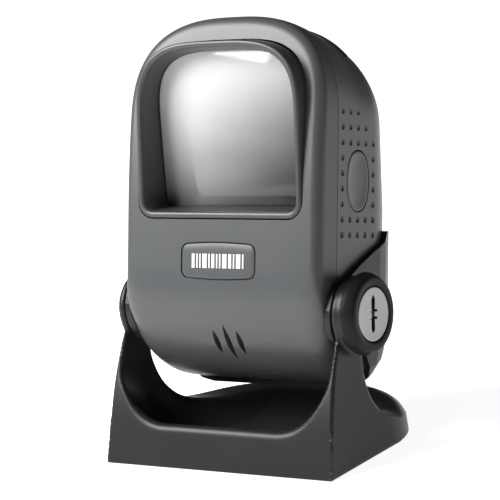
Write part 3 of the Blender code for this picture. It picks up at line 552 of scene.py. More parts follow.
class Bench:
    """Makes, cuts and dresses mesh pieces."""

    def __init__(self, finishes: Finishes) -> None:
        """Keep the object's finishes at hand."""
        self.finishes = finishes

    @staticmethod
    def loft(rings: Sequence[Ring], closed: bool = False, row_caps: bool = False,
             into: bmesh.types.BMesh | None = None) -> bmesh.types.BMesh:
        """Skin rings of equal length.

        Args:
            rings: The rings, in order.
            closed: Whether the last ring joins the first.
            row_caps: Whether an end is closed by rows that join its left and right points.
            into: A shape to add to, where it isn't a new one.

        Returns:
            The skinned shape.
        """
        shape = into or bmesh.new()
        rows = [[shape.verts.new(point) for point in ring] for ring in rings]
        count = len(rows[0])
        pairs = list(zip(rows, rows[1:]))
        if closed:
            pairs.append((rows[-1], rows[0]))
        for low, high in pairs:
            for i in range(count):
                j = (i + 1) % count
                shape.faces.new((low[i], low[j], high[j], high[i]))
        if closed:
            return shape
        for end in (rows[0], rows[-1]):
            if not row_caps:
                shape.faces.new(end)
                continue
            for i in range(count // 2 - 1):
                shape.faces.new((end[i], end[i + 1], end[-2 - i], end[-1 - i]))
        return shape

    @classmethod
    def prism(cls, outline: Sequence[Point2], start: float, end: float, axis: Axis = Axis.Z,
              into: bmesh.types.BMesh | None = None) -> bmesh.types.BMesh:
        """Extrude a flat outline between two depths along an axis."""
        return cls.loft([[axis.place(a, b, depth) for a, b in outline] for depth in (start, end)], into=into)

    @classmethod
    def block(cls, low: Point3, high: Point3) -> bmesh.types.BMesh:
        """A plain box, from its lowest to its highest corner."""
        return cls.prism(rectangle(low[:2], high[:2]), low[2], high[2])

    @classmethod
    def turned(cls, profile: Sequence[Point2], sides: int, axis: Axis = Axis.X) -> bmesh.types.BMesh:
        """Turn a profile of (distance along the axis, radius) points about an axis."""
        rings = [[axis.place(a, b, along) for a, b in circle(radius, sides)] for along, radius in profile]
        return cls.loft(rings)

    @staticmethod
    def raw(name: str, shape: bmesh.types.BMesh, matrix: Matrix) -> bpy.types.Object:
        """Turn a shape in millimetres into an object in metres, in the row frame.

        Args:
            name: Its name.
            shape: The shape, which is freed.
            matrix: The frame it was drawn in.

        Returns:
            The object, with its place in its mesh.
        """
        bmesh.ops.recalc_face_normals(shape, faces=shape.faces)
        bmesh.ops.transform(shape, matrix=matrix @ Matrix.Scale(MM, 4), verts=shape.verts)
        mesh = bpy.data.meshes.new(name)
        shape.to_mesh(mesh)
        shape.free()
        item = bpy.data.objects.new(name, mesh)
        bpy.context.scene.collection.objects.link(item)
        return item

    @staticmethod
    def combine(target: bpy.types.Object, tool: bpy.types.Object, operation: str) -> None:
        """Apply a Boolean at once and remove the tool.

        Args:
            target: The piece that stays.
            tool: The other solid.
            operation: DIFFERENCE or INTERSECT.
        """
        modifier = target.modifiers.new("combine", "BOOLEAN")
        modifier.operation = operation
        modifier.solver = "EXACT"
        modifier.object = tool
        Bench.settle(target)
        bpy.data.objects.remove(tool, do_unlink=True)

    @staticmethod
    def settle(item: bpy.types.Object) -> None:
        """Replace a piece's mesh by what its modifiers make of it."""
        graph = bpy.context.evaluated_depsgraph_get()
        mesh = bpy.data.meshes.new_from_object(item.evaluated_get(graph))
        item.modifiers.clear()
        old = item.data
        item.data = mesh
        bpy.data.meshes.remove(old)

    def cut(self, target: bpy.types.Object, shape: bmesh.types.BMesh, matrix: Matrix) -> None:
        """Cut a shape out of a piece."""
        self.combine(target, self.raw("cutter", shape, matrix), "DIFFERENCE")

    def keep(self, target: bpy.types.Object, shape: bmesh.types.BMesh, matrix: Matrix) -> None:
        """Keep only what lies inside a shape."""
        self.combine(target, self.raw("keeper", shape, matrix), "INTERSECT")

    def soften(self, item: bpy.types.Object, width_mm: float) -> None:
        """Round the sharp edges of a piece.

        Args:
            item: The piece.
            width_mm: Width of the rounding.
        """
        modifier = item.modifiers.new("soften", "BEVEL")
        modifier.width = width_mm * MM
        modifier.segments = SOFTEN_STEPS
        modifier.limit_method = "ANGLE"
        modifier.angle_limit = math.radians(SOFTEN_ANGLE)
        modifier.use_clamp_overlap = True
        self.settle(item)

    def dress(self, item: bpy.types.Object, slot: str, body: str, nodes: Iterable[str] = (),
              finish: str | None = None, sharp: float = 32.0) -> None:
        """Shade a piece, give it its finish and put it on its body.

        Args:
            item: The piece.
            slot: The record's material slot.
            body: The body it rides on.
            nodes: The CAD nodes it stands for.
            finish: The finish, where it isn't the slot's own.
            sharp: Edges sharper than this stay sharp, in degrees.
        """
        mesh = item.data
        mesh.materials.clear()
        mesh.materials.append(self.finishes[finish or slot])
        for polygon in mesh.polygons:
            polygon.material_index = 0
        mesh.shade_smooth()
        mesh.set_sharp_from_angle(angle=math.radians(sharp))
        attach(item, body)
        if nodes:
            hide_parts(*nodes)
        LOG.info("%s: %d faces", item.name, len(mesh.polygons))


class Frames:
    """Reference frames of the object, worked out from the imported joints."""

    PIVOT_IN_STAND = Vector((0.0, 30.0, 50.9))
    WINDOW_HINGE = Vector((0.0, -17.4, 32.0))
    WINDOW_LEAN = math.radians(4.0)

    def __init__(self, joints: Sequence[dict]) -> None:
        """Read the tilt axis and the head's direction.

        Args:
            joints: The frame's joints.
        """
        named = {joint["name"]: joint for joint in joints}
        pivot = Vector(named["head_tilt"]["pos_m"])
        up = Vector(named["head_lift"]["axis"])
        self.pivot = Matrix.Translation(pivot)
        self.stand = Matrix.Translation(pivot - self.PIVOT_IN_STAND * MM)
        self.head = self.pivot @ Matrix.Rotation(-math.atan2(up.y, up.z), 4, "X")
        hinge = Matrix.Translation(self.WINDOW_HINGE * MM)
        self.window = self.head @ hinge @ Matrix.Rotation(self.WINDOW_LEAN, 4, "X")

    def on_head(self, x: float, y: float, z: float) -> Matrix:
        """The head frame moved to a point on it, in millimetres."""
        return self.head @ Matrix.Translation((x * MM, y * MM, z * MM))


# --- Stand


Field = Callable[[np.ndarray, np.ndarray, np.ndarray], np.ndarray]


def round_union(a: np.ndarray, b: np.ndarray, radius: float) -> np.ndarray:
    """Union of two distance fields with a fillet."""
    u, v = np.maximum(radius - a, 0), np.maximum(radius - b, 0)
    return np.maximum(radius, np.minimum(a, b)) - np.hypot(u, v)


def round_intersection(a: np.ndarray, b: np.ndarray, radius: np.ndarray | float) -> np.ndarray:
    """Intersection of two distance fields with a rounded edge."""
    u, v = np.maximum(radius + a, 0), np.maximum(radius + b, 0)
    return np.minimum(-radius, np.maximum(a, b)) + np.hypot(u, v)


def polygon_field(y: np.ndarray, z: np.ndarray, corners: Sequence[Point2]) -> np.ndarray:
    """Signed distance to a flat polygon.

    Args:
        y: First coordinates.
        z: Second coordinates.
        corners: The polygon's corners in (y, z).

    Returns:
        Distances, negative inside.
    """
    nearest = np.full(np.broadcast(y, z).shape, 1e12)
    sign = np.ones_like(nearest)
    for (y0, z0), (y1, z1) in zip(corners, list(corners[1:]) + [corners[0]]):
        along_y, along_z = y1 - y0, z1 - z0
        from_y, from_z = y - y0, z - z0
        share = np.clip((from_y * along_y + from_z * along_z) / (along_y**2 + along_z**2), 0, 1)
        nearest = np.minimum(nearest, (from_y - along_y * share) ** 2 + (from_z - along_z * share) ** 2)
        above, below, left = z >= z0, z < z1, along_y * from_z > along_z * from_y
        sign = np.where((above & below & left) | (~above & ~below & ~left), -sign, sign)
    return sign * np.sqrt(nearest)


class FieldMesher:
    """Turns a distance field into a smooth mesh with one vertex for each cell that it crosses."""

    def __init__(self, field: Field, low: Point3, high: Point3, step: float) -> None:
        """Describe the field and the box that holds it.

        Args:
            field: Signed distance, negative inside.
            low: Lowest corner.
            high: Highest corner.
            step: Cell size.
        """
        self.field = field
        self.low = np.array(low, float)
        self.step = step
        self.counts = np.ceil((np.array(high) - self.low) / step).astype(int) + 1

    def mesh(self) -> bmesh.types.BMesh:
        """Build the mesh.

        Returns:
            The shape in the field's own units.
        """
        axes = [self.low[i] + self.step * np.arange(self.counts[i]) for i in range(3)]
        values = self.field(axes[0][:, None, None], axes[1][None, :, None], axes[2][None, None, :])
        inside = values < 0
        total = np.zeros(tuple(self.counts - 1), int)
        for i, j, k in np.ndindex(2, 2, 2):
            total += self._corner(inside, i, j, k)
        active = (total > 0) & (total < 8)
        index = np.full(active.shape, -1)
        index[active] = np.arange(active.sum())
        cells = np.argwhere(active)
        points = self._settle_points(self.low + (cells + 0.5) * self.step)
        return self._skin(points, self._quads(inside, index))

    @staticmethod
    def _corner(inside: np.ndarray, i: int, j: int, k: int) -> np.ndarray:
        """One corner of every cell."""
        shape = inside.shape
        return inside[i:shape[0] - 1 + i, j:shape[1] - 1 + j, k:shape[2] - 1 + k].astype(int)

    def _settle_points(self, points: np.ndarray, rounds: int = 6) -> np.ndarray:
        """Move points onto the surface along the field's slope.

        Args:
            points: Starting points.
            rounds: Number of moves.

        Returns:
            Points on the surface.
        """
        nudge = 0.05
        start = points.copy()
        for _ in range(rounds):
            x, y, z = points.T
            value = self.field(x, y, z)
            slope = np.stack([
                self.field(x + nudge, y, z) - value,
                self.field(x, y + nudge, z) - value,
                self.field(x, y, z + nudge) - value,
            ], 1) / nudge
            steepness = np.maximum((slope**2).sum(1), 0.05)
            points = points - np.clip((value / steepness)[:, None] * slope, -0.5 * self.step, 0.5 * self.step)
            points = start + np.clip(points - start, -0.8 * self.step, 0.8 * self.step)
        return points

    @staticmethod
    def _quads(inside: np.ndarray, index: np.ndarray) -> np.ndarray:
        """Join the four cells round every grid edge that the surface crosses.

        Args:
            inside: Whether each grid point is inside.
            index: Vertex number of each cell.

        Returns:
            Rows of four vertex numbers.
        """
        quads = []
        for axis in range(3):
            first = np.moveaxis(inside, axis, 0)
            cells = np.moveaxis(index, axis, 0)
            before, after = first[:-1, 1:-1, 1:-1], first[1:, 1:-1, 1:-1]
            crossing = np.argwhere(before != after)
            i, j, k = crossing.T
            around = (cells[i, j, k], cells[i, j + 1, k], cells[i, j + 1, k + 1], cells[i, j, k + 1])
            corners = np.stack(around, 1)
            flip = before[i, j, k] ^ (axis == 1)
            corners[flip] = corners[flip][:, ::-1]
            quads.append(corners)
        return np.concatenate(quads)

    @staticmethod
    def _skin(points: np.ndarray, quads: np.ndarray) -> bmesh.types.BMesh:
        """Make a shape from points and quads."""
        mesh = bpy.data.meshes.new("skin")
        mesh.from_pydata(points.tolist(), [], quads.tolist())
        shape = bmesh.new()
        shape.from_mesh(mesh)
        bpy.data.meshes.remove(mesh)
        return shape


@dataclass
class Stand:
    """The yoke stand's moulding, its left hub cap, its weight and its feet."""

    bench: Bench
    frames: Frames
    half_width: float = 49.0
    lift: float = 0.4
    side_end: float = 38.0
    rear_length: float = 40.0
    rear_power: float = 2.2
    base_top: float = 12.2
    base_round: float = 8.0
    arm_lean: float = 2.7 / 50.9
    pivot_y: float = 30.0
    pivot_z: float = 50.9
    hub_radius: float = 12.9
    hub_right: float = 49.3
    hub_left: float = 47.6
    drum_radius: float = 46.5
    drum_flat: float = 24.0
    drum_corner: float = 26.0
    arm_inner: float = 45.2
    skirt_wall: float = 3.2
    skirt_ceiling: float = 2.9
    front_slope: float = 0.29
    front_scale: float = 0.96
    plan_scale: float = 44.0
    drum_edge: float = 0.4
    front_round: float = 0.35
    base_fillet: float = 5.0
    nose_span: Point2 = (-22.0, -6.0)
    nose_rise: float = 1.2
    nose_crisp: float = 2.0
    tail_span: Point2 = (36.0, 50.0)
    tail_round: Point2 = (0.8, 6.5)
    deck_span: Point2 = (20.0, 48.0)
    deck_low_span: Point2 = (-38.0, -14.0)
    deck_inward: float = 15.0
    lip_span: Point2 = (-24.0, -6.0)
    lip_width: float = 3.4
    rim_span: Point2 = (-26.0, -12.0)
    rim_round: Point2 = (1.1, 2.6)
    hub_round: float = 0.6
    hub_fillet: float = 1.2
    cell: float = 0.75

    def arm_outline(self) -> list[Point2]:
        """The arm seen from the side, from its front bottom corner round the hub to its tail."""
        front = [(0.0, self.lift), (1.4, 5.0), (2.9, 10.0), (5.8, 20.0), (9.5, 30.0)]
        front += [(14.2, 40.0), (17.4, 45.0)]
        rear = [(31.0, 38.4), (29.6, 35.0), (29.3, 29.0), (30.8, 21.0), (35.5, 14.2)]
        rear += [(42.0, 11.0), (50.0, 8.4)]
        hub = arc((self.pivot_y, self.pivot_z), self.hub_radius, 197, -84, 40)
        return cut_corners(front) + hub + cut_corners(rear) + [(58.0, 6.0), (66.0, 3.5), (66.0, self.lift)]

    def field(self, x: np.ndarray, y: np.ndarray, z: np.ndarray) -> np.ndarray:
        """Signed distance to the stand's one moulding, in the stand frame.

        Args:
            x: Across.
            y: To the back.
            z: Up.

        Returns:
            Distances, negative inside.
        """
        across, from_pivot = np.abs(x), np.hypot(y - self.pivot_y, z - self.pivot_z)
        plan = self._plan(across, y, z)
        tail = self.tail_round[0] + self.tail_round[1] * smooth_step(y, *self.tail_span)
        slab = round_intersection(polygon_field(y, z, self.arm_outline()), plan, tail)
        front = (self.front_slope * z - y) * self.front_scale
        nose = smooth_step(-y, *self.nose_span)
        edge = self.base_round - self.nose_crisp * nose
        top = z - self.base_top - self.nose_rise * nose
        base = round_intersection(np.maximum(plan, front), top, edge)
        base = np.maximum(base, self.lift - z)
        body = round_union(slab, base, self.base_fillet)
        body = np.maximum(body, round_intersection(plan, front, self.front_round))
        body = np.maximum(body, self.lift - z)
        rim = self.rim_round[0] + self.rim_round[1] * smooth_step(-z, *self.rim_span)
        body = round_intersection(body, -self._drum(across, y, z, from_pivot), rim)

        face = np.where(x > 0, self.hub_right, self.hub_left)
        ends = np.maximum(across - face, self.arm_inner - across)
        hub = round_intersection(from_pivot - self.hub_radius, ends, self.hub_round)
        body = round_union(body, hub, self.hub_fillet)
        skirt = np.maximum(plan + self.skirt_wall, z - self.skirt_ceiling)
        skirt = np.maximum(skirt, self.skirt_wall - y)
        return np.maximum(body, -skirt)

    def _plan(self, across: np.ndarray, y: np.ndarray, z: np.ndarray) -> np.ndarray:
        """Distance to the stand's plan: straight sides that lean in, and a round rear."""
        half = self.half_width - self.arm_lean * z
        behind = np.maximum(y - self.side_end, 0) / self.rear_length
        reach = ((across / half) ** self.rear_power + behind**self.rear_power) ** (1 / self.rear_power)
        return (reach - 1) * self.plan_scale

    def _drum(self, across: np.ndarray, y: np.ndarray, z: np.ndarray, from_pivot: np.ndarray) -> np.ndarray:
        """Distance to the room about the tilt axis in which the head swings, narrower low at the back."""
        inward = self.deck_inward * smooth_step(y, *self.deck_span) * smooth_step(-z, *self.deck_low_span)
        radius = from_pivot + self.lip_width * smooth_step(-y, *self.lip_span)
        flat, corner = self.drum_flat, self.drum_corner
        sideways = np.maximum(across + inward - flat, 0) / (self.arm_inner - flat)
        outwards = np.maximum(radius - corner, 0) / (self.drum_radius - corner)
        return (np.hypot(sideways, outwards) - 1) * (self.arm_inner - flat - self.drum_edge)

    def build_moulding(self) -> None:
        """The stand's one-piece moulding, filleted where its arms meet the base."""
        mesher = FieldMesher(self.field, (-51.5, -2.0, -1.6), (51.5, 80.0, 66.0), self.cell)
        item = self.bench.raw("yoke_stand_moulding", mesher.mesh(), self.frames.stand)
        self.bench.dress(item, "stand_black", "stand", ["yoke_stand"], sharp=48.0)

    def build_cap(self) -> None:
        """The domed cap on the left hub."""
        start = -self.hub_left - GAP
        dome = [(start + 0.28, 11.2), (start, 11.6), (start - 0.3, 11.62)]
        dome += [(start - 0.3 - 1.3 * math.sin(t), 11.62 - 4.2 * (1 - math.cos(t)))
                 for t in (math.radians(10 * i) for i in range(1, 10))]
        dome += [(start - 1.66, 4.0), (start - 1.68, 0.6)]
        item = self.bench.raw("hub_cap_dome", self.bench.turned(dome, 72), self.frames.pivot)
        self.bench.dress(item, "stand_black", "stand", ["hub_cap_left"])

    def build_weight(self) -> None:
        """The steel block that weights the tail, with its corners inside the moulding."""
        block = self.bench.block((-32.5, 53.0, 2.4), (32.5, 65.5, 8.2))
        item = self.bench.raw("base_weight_block", block, self.frames.stand)
        self.bench.soften(item, 1.2)
        self.bench.dress(item, "zinc_steel", "stand", ["base_weight"])

    def build_feet(self, nodes: dict[str, bpy.types.Object]) -> None:
        """Rubber feet with a moulded ring, over each CAD foot.

        Args:
            nodes: The CAD nodes.
        """
        for name in sorted(n for n in nodes if n.startswith("foot_")):
            low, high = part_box(name)
            centre = (low + high) / 2
            radius = (high.x - low.x) / 2 / MM
            top = (high.z - low.z) / MM
            profile = [(0.35, 1.2), (0.35, 2.4), (0.0, 2.8), (0.0, radius - 0.5), (0.15, radius - 0.1)]
            profile += [(0.4, radius), (top, radius)]
            place = Matrix.Translation((centre.x, centre.y, low.z))
            item = self.bench.raw(name + "_pad", self.bench.turned(profile, 48, Axis.Z), place)
            self.bench.dress(item, "rubber", "stand", [name])


@dataclass
class Knob:
    """The tilt knob on the right, with its brushed disc."""

    bench: Bench
    frames: Frames
    back: float = 49.6
    face: float = 54.0
    back_radius: float = 14.3
    front_radius: float = 12.85
    disc_radius: float = 9.4
    disc_face: float = 53.85

    def build(self) -> None:
        """The knob's body, its disc and the coin slot."""
        back, face = self.back, self.face
        outside = stepped(back, self.back_radius, ((0.0, -0.5), (0.12, -0.18), (0.4, 0.0), (1.3, -0.05)))
        front = ((-1.3, 0.62), (-0.7, 0.38), (-0.3, 0.0), (-0.08, -0.5), (0.0, -1.0))
        outside += stepped(face, self.front_radius, front)
        outside += stepped(face, self.disc_radius, ((-0.03, 0.8), (-0.25, 0.42), (-1.4, 0.34)))
        knob = self.bench.raw("tilt_knob_grip", self.bench.turned(outside, 120), self.frames.pivot)
        bore = self.bench.turned([(40.0, 2.3), (60.0, 2.3)], 32)
        self.bench.cut(knob, bore, self.frames.pivot)
        self.bench.dress(knob, "knob_black", "tilt_knob", ["tilt_knob"])

        edge = ((-0.95, -0.1), (-0.35, 0.0), (-0.1, -0.12), (0.0, -0.4), (-0.02, -0.9), (-0.16, -1.6))
        profile = stepped(self.disc_face, self.disc_radius, edge)
        profile += stepped(self.disc_face, 0.0, ((-0.26, 4.0), (-0.28, 0.5)))
        disc = self.bench.raw("knob_disc_face", self.bench.turned(profile, 96), self.frames.pivot)
        tilt = self.frames.pivot @ Matrix.Rotation(math.radians(-12), 4, "X")
        self.bench.cut(disc, self.bench.prism(self.slot_outline(12.8, 2.3), 52.2, 55.0, Axis.X), tilt)
        for lift in (-1.25, 1.25):
            bar = rectangle((-2.6, lift - 0.45), (2.6, lift + 0.45))
            self.bench.cut(disc, self.bench.prism(bar, 52.9, 55.0, Axis.X), tilt)
        self.bench.dress(disc, "brushed_disc", "tilt_knob", ["knob_disc"])

    @staticmethod
    def slot_outline(length: float, width: float) -> list[Point2]:
        """The coin slot: straight sides that taper to blunt points."""
        half, reach = width / 2, length / 2
        right = [(half * 0.35, -reach), (half, -reach * 0.78), (half * 0.8, 0.0), (half, reach * 0.78)]
        right += [(half * 0.35, reach)]
        return mirrored(right)


# --- Scan head


@dataclass
class HeadForm:
    """The scan head's outer form, sampled finely in the head frame."""

    half_width: float = 42.2
    front: float = -17.2
    rear: float = 40.5
    seam: float = -5.8
    crown: float = 103.1
    crown_fall: float = 0.0045
    crown_at: float = -4.0
    arch_start: float = 66.0
    power_front: float = 2.8
    power_rear: float = 2.1
    power_settled: float = 12.0
    front_round: float = 3.8
    brow_round: float = 4.2
    rear_round: float = 20.0
    chin_centre: Point2 = (17.9, 9.6)
    chin_radius: float = 35.0
    heel_centre: Point2 = (17.9, -2.8)
    heel_radius: float = 22.6
    bottom_corner: float = 8.0
    heel_corner: float = 16.0
    corner_span: Point2 = (8.0, 32.0)
    brow_span: Point2 = (66.0, 98.0)
    side_taper: float = 0.061
    brow_lean: float = 4.2
    brow_start: float = 35.0
    brow_length: float = 61.0
    rear_lean: float = 0.115
    rear_lean_start: float = 36.0
    wall: float = 2.2
    steps: tuple[int, int, int] = (9, 22, 26)

    def bottom(self, y: float, offset: float) -> float:
        """Height of the underside at a depth.

        Args:
            y: The depth.
            offset: How far inside the outer form.

        Returns:
            The height.
        """
        centre, radius = self.heel_centre, self.heel_radius
        if y < self.chin_centre[0]:
            centre, radius = self.chin_centre, self.chin_radius
        return centre[1] - math.sqrt(max((radius - offset) ** 2 - (y - centre[0]) ** 2, 0.0))

    def side_face(self, y: float) -> float:
        """Half width of the head at a depth."""
        return self.half_width - self.side_taper * max(y - self.seam, 0.0)

    def outline(self, y: float, offset: float) -> list[Point2]:
        """The section across y before its edges are rounded, right side from bottom to top.

        Args:
            y: The depth.
            offset: How far inside the outer form.

        Returns:
            The right half of the section.
        """
        half = self.side_face(y) - offset
        share = share_between(y, *self.corner_span)
        corner = self.bottom_corner + (self.heel_corner - self.bottom_corner) * share - min(offset, 3.0)
        low = self.bottom(y, offset)
        top = self.crown - self.crown_fall * (y - self.crown_at) ** 2 - offset
        settled = share_between(y, self.front, self.power_settled)
        power = self.power_front + (self.power_rear - self.power_front) * settled
        return arched_side(half, low, top, corner, (self.arch_start, power, ARCH_SWEEP), self.steps)

    @staticmethod
    def rounded(depth: float, radius: float) -> float:
        """How far a rounded edge stands in at a depth inside the face that it rounds off."""
        reach = min(max(radius - depth, 0.0), radius)
        return radius - math.sqrt(radius**2 - reach**2)

    def ring(self, y: float, offset: float = 0.0) -> Ring:
        """One section of the form, with its front and rear edges rounded.

        Args:
            y: The depth.
            offset: How far inside the outer form.

        Returns:
            The closed ring, from bottom right over the top to bottom left.
        """
        line = self.outline(y, offset)
        ends = [(0.0, line[0][1])] + line + [(0.0, line[-1][1])]
        ahead = 1.0 - share_between(y, self.front, self.seam)
        behind = share_between(y, self.seam, self.rear)
        right = []
        for before, (x, z), after in zip(ends, line, ends[2:]):
            along = Vector((after[0] - before[0], after[1] - before[1])).normalized()
            brow = smooth_step(z, *self.brow_span)
            radius = self.front_round + (self.brow_round - self.front_round) * brow - min(offset, 3.0)
            inset = self.rounded(y - self.front - offset, radius)
            inset += self.rounded(self.rear - offset - y, self.rear_round - offset)
            x, z = max(x - inset * along.y, 0.05), z + inset * along.x
            brow_back = self.brow_lean * (max(z - self.brow_start, 0.0) / self.brow_length) ** 2
            lean = -self.rear_lean * max(z - self.rear_lean_start, 0.0)
            right.append((x, y + ahead * brow_back + behind * lean, z))
        return right + [(-x, depth, z) for x, depth, z in reversed(right)]

    def solid(self, offset: float, fine: bool = True) -> bmesh.types.BMesh:
        """The whole form, or the hollow inside its wall when the offset is positive.

        Args:
            offset: How far inside the outer form.
            fine: Whether the edges are sampled finely.

        Returns:
            The solid in the head frame.
        """
        front_steps, rear_steps = (14, 16) if fine else (5, 8)
        radius = self.brow_round - offset
        turns = [math.pi / 2 * i / front_steps for i in range(front_steps + 1)]
        depths = [self.front + offset + radius * (1 - math.cos(t)) for t in turns]
        depths += [-9.0, -7.4, self.seam, -3.0, 0.0, 4.0, 8.0, 12.0, 16.0]
        radius = self.rear_round - offset
        turns = [math.radians(ARCH_SWEEP) * i / rear_steps for i in range(rear_steps + 1)]
        depths += [self.rear - offset - radius * (1 - math.sin(t)) for t in turns]
        return Bench.loft([self.ring(y, offset) for y in sorted(set(depths))], row_caps=True)


def window_outline(grow: float = 0.0, sill: float = 0.0,
                   steps: tuple[int, int, int] = (8, 10, 22)) -> list[Point2]:
    """The window bezel's outline in the window frame.

    Args:
        grow: How much larger all round.
        sill: How much its sill is raised.
        steps: Steps of the corners, the sides and the arch.

    Returns:
        The closed outline.
    """
    half_width, top, corner = 35.2 + grow, 61.9 + grow, max(6.0 + grow, 1.5)
    return mirrored(arched_side(half_width, sill - grow, top, corner, (31.0, 3.5, 87.0), steps))


@dataclass
class ScanHead:
    """The head's two shells, its window, badge, light bar and side buttons."""

    bench: Bench
    frames: Frames
    form: HeadForm
    badge_size: Point2 = (31.5, 11.2)
    badge_bow: float = 0.75
    badge_corner: float = 2.4
    badge_z: float = 17.2
    slot_pitch: float = 5.1
    slot_z: float = -11.3
    button_centre: Point2 = (8.1, 45.6)
    button_half: Point2 = (7.4, 10.5)
    button_power: float = 2.3
    dot_start: Point2 = (-2.5, 69.4)
    dot_pitch: Point2 = (5.3, 5.32)
    dot_rows: tuple[str, ...] = ("ooo", "oooo", "ooooo", "o   o", "o   o", "o   o", "o   o", "ooooo", "ooooo")
    dot_radius: float = 1.15
    dot_depth: float = 0.9
    glass_lean: float = 0.09
    bezel_depth: float = 12.0
    light_reach: float = 31.0

    def seam_region(self, side: int) -> bmesh.types.BMesh:
        """Everything in front of the seam (-1) or behind it (1), which sweeps back under the chin."""
        seam = self.form.seam + side * GAP / 2
        sweep = arc((seam + 20.0, -2.0), 20.0, 180, 255, 24)
        line = [(seam, 120.0)] + sweep + [(sweep[-1][0] + 14.0, -40.0)]
        line += [(side * 80.0, -40.0), (side * 80.0, 120.0)]
        return self.bench.prism(line, -60.0, 60.0, Axis.X)

    def shell(self, name: str, side: int) -> bpy.types.Object:
        """One hollow half of the head.

        Args:
            name: The piece's name.
            side: -1 for the front, 1 for the rear.

        Returns:
            The shell.
        """
        item = self.bench.raw(name, self.form.solid(0.0), self.frames.head)
        self.bench.cut(item, self.form.solid(self.form.wall, fine=False), self.frames.head)
        self.bench.keep(item, self.seam_region(side), self.frames.head)
        return item

    def badge_outline(self, grow: float) -> list[Point2]:
        """The badge: a box with rounded corners whose long edges bow out.

        Args:
            grow: How much larger all round.

        Returns:
            The closed outline about its centre.
        """
        half_x, half_z = self.badge_size[0] / 2 + grow, self.badge_size[1] / 2 + grow
        corner = self.badge_corner + grow
        outline = []
        for turn, (sx, sz) in enumerate(((1, 1), (-1, 1), (-1, -1), (1, -1))):
            centre = (sx * (half_x - corner), sz * (half_z - corner))
            outline += arc(centre, corner, 90 * turn, 90 * turn + 90, 6)
            if turn in (0, 2):
                outline += [(sx * (half_x - corner) * (1 - i / 6), sz * half_z) for i in range(1, 12)]
        bow = self.badge_bow
        return [(x, z + math.copysign(bow * (1 - (x / half_x) ** 2), z)) for x, z in outline]

    def build_front_shell(self) -> None:
        """The face: window opening, badge recess and the three speaker slots."""
        item = self.shell("front_shell_moulding", -1)
        hole = self.bench.prism(window_outline(0.32), -12.0, 14.0, Axis.Y)
        self.bench.cut(item, hole, self.frames.window)
        place = self.frames.on_head(0, 0, self.badge_z)
        recess = self.bench.prism(self.badge_outline(0.42), -22.0, self.form.front + 1.0, Axis.Y)
        self.bench.cut(item, recess, place)
        for index, length in enumerate((8.1, 12.3, 8.1)):
            slot = self.bench.prism(self.slot_outline(2.3, length + 0.6), -25.0, 2.0, Axis.Y)
            self.bench.cut(item, slot, self.frames.on_head((index - 1) * self.slot_pitch, 0, self.slot_z))
        self.bench.dress(item, "shell_grey", "scan_head", ["front_shell"])

    @staticmethod
    def slot_outline(width: float, length: float, steps: int = 12) -> list[Point2]:
        """A slot with pointed ends between two arcs."""
        side = [(width / 2 * math.sin(math.pi * i / steps), length * (i / steps - 0.5)) for i in range(steps)]
        return side + [(-x, -z) for x, z in side]

    def dot_places(self) -> list[Point2]:
        """Centres of the grip dots on a side, in (y, z)."""
        y0, z0 = self.dot_start
        step_y, step_z = self.dot_pitch
        spots = [(row, column) for row, marks in enumerate(self.dot_rows)
                 for column, mark in enumerate(marks) if mark == "o"]
        return [(y0 + step_y * column, z0 - step_z * row) for row, column in spots]

    def build_rear_shell(self) -> None:
        """The back: grip dots, button holes, light slot, socket hole and screw wells."""
        item = self.shell("rear_shell_moulding", 1)
        bench, head = self.bench, self.frames.head
        dots = bmesh.new()
        ball = {"u_segments": 16, "v_segments": 10, "radius": self.dot_radius}
        for side in Side:
            for y, z in self.dot_places():
                out = self.form.side_face(y) + self.dot_radius - self.dot_depth
                place = Matrix.Translation((side.value * out, y, z))
                bmesh.ops.create_uvsphere(dots, **ball, matrix=place)
        bench.cut(item, dots, head)
        for side in Side:
            y, z = self.button_centre
            hole = bench.prism(self.button_outline(0.36), side.value * 37.0, side.value * 46.0, Axis.X)
            bench.cut(item, hole, self.frames.on_head(0, y, z))
        bench.cut(item, self.light_bar(13.7, 17.3, -2.0, 5.0, self.light_reach + GAP), head)
        socket = rectangle((-7.3, -6.3), (7.3, 6.3))
        bench.cut(item, bench.prism(socket, 25.0, 46.0, Axis.Y), self.frames.on_head(0, 0, 1.0))
        for name in ("lower_left", "lower_right", "upper_left", "upper_right"):
            low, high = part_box("shell_screw_" + name)
            spot = head.inverted() @ ((low + high) / 2)
            x, z = spot.x / MM, spot.z / MM
            face = self.form.rear - self.form.rear_lean * (z - self.form.rear_lean_start)
            place = self.frames.on_head(x, 0, z)
            bench.cut(item, bench.turned([(face - 1.2, 2.9), (face + 3, 2.9)], 32, Axis.Y), place)
            bench.cut(item, bench.turned([(face - 5, 1.6), (face + 3, 1.6)], 24, Axis.Y), place)
        bench.dress(item, "shell_grey", "scan_head", ["rear_shell"])

    def light_bar(self, start: float, end: float, out: float, depth: float,
                  reach: float) -> bmesh.types.BMesh:
        """A strip that follows the crown's arch between two depths below the surface.

        Args:
            start: Its front edge.
            end: Its rear edge.
            out: Depth of its outer face.
            depth: Depth of its inner face.
            reach: How far it goes to each side.

        Returns:
            The strip.
        """
        form = self.form
        half = form.side_face(start)
        rise = form.crown - form.crown_fall * (start - form.crown_at) ** 2 - form.arch_start
        steps = 48
        rings = []
        for step in range(steps + 1):
            x = reach * (2 * step / steps - 1)
            ring = []
            for y, level in ((start, out), (end, out), (end, depth), (start, depth)):
                a, b = half - level, rise - level
                power = form.power_rear
                ring.append((x, y, form.arch_start + b * (1 - (abs(x) / a) ** power) ** (1 / power)))
            rings.append(ring)
        return self.bench.loft(rings)

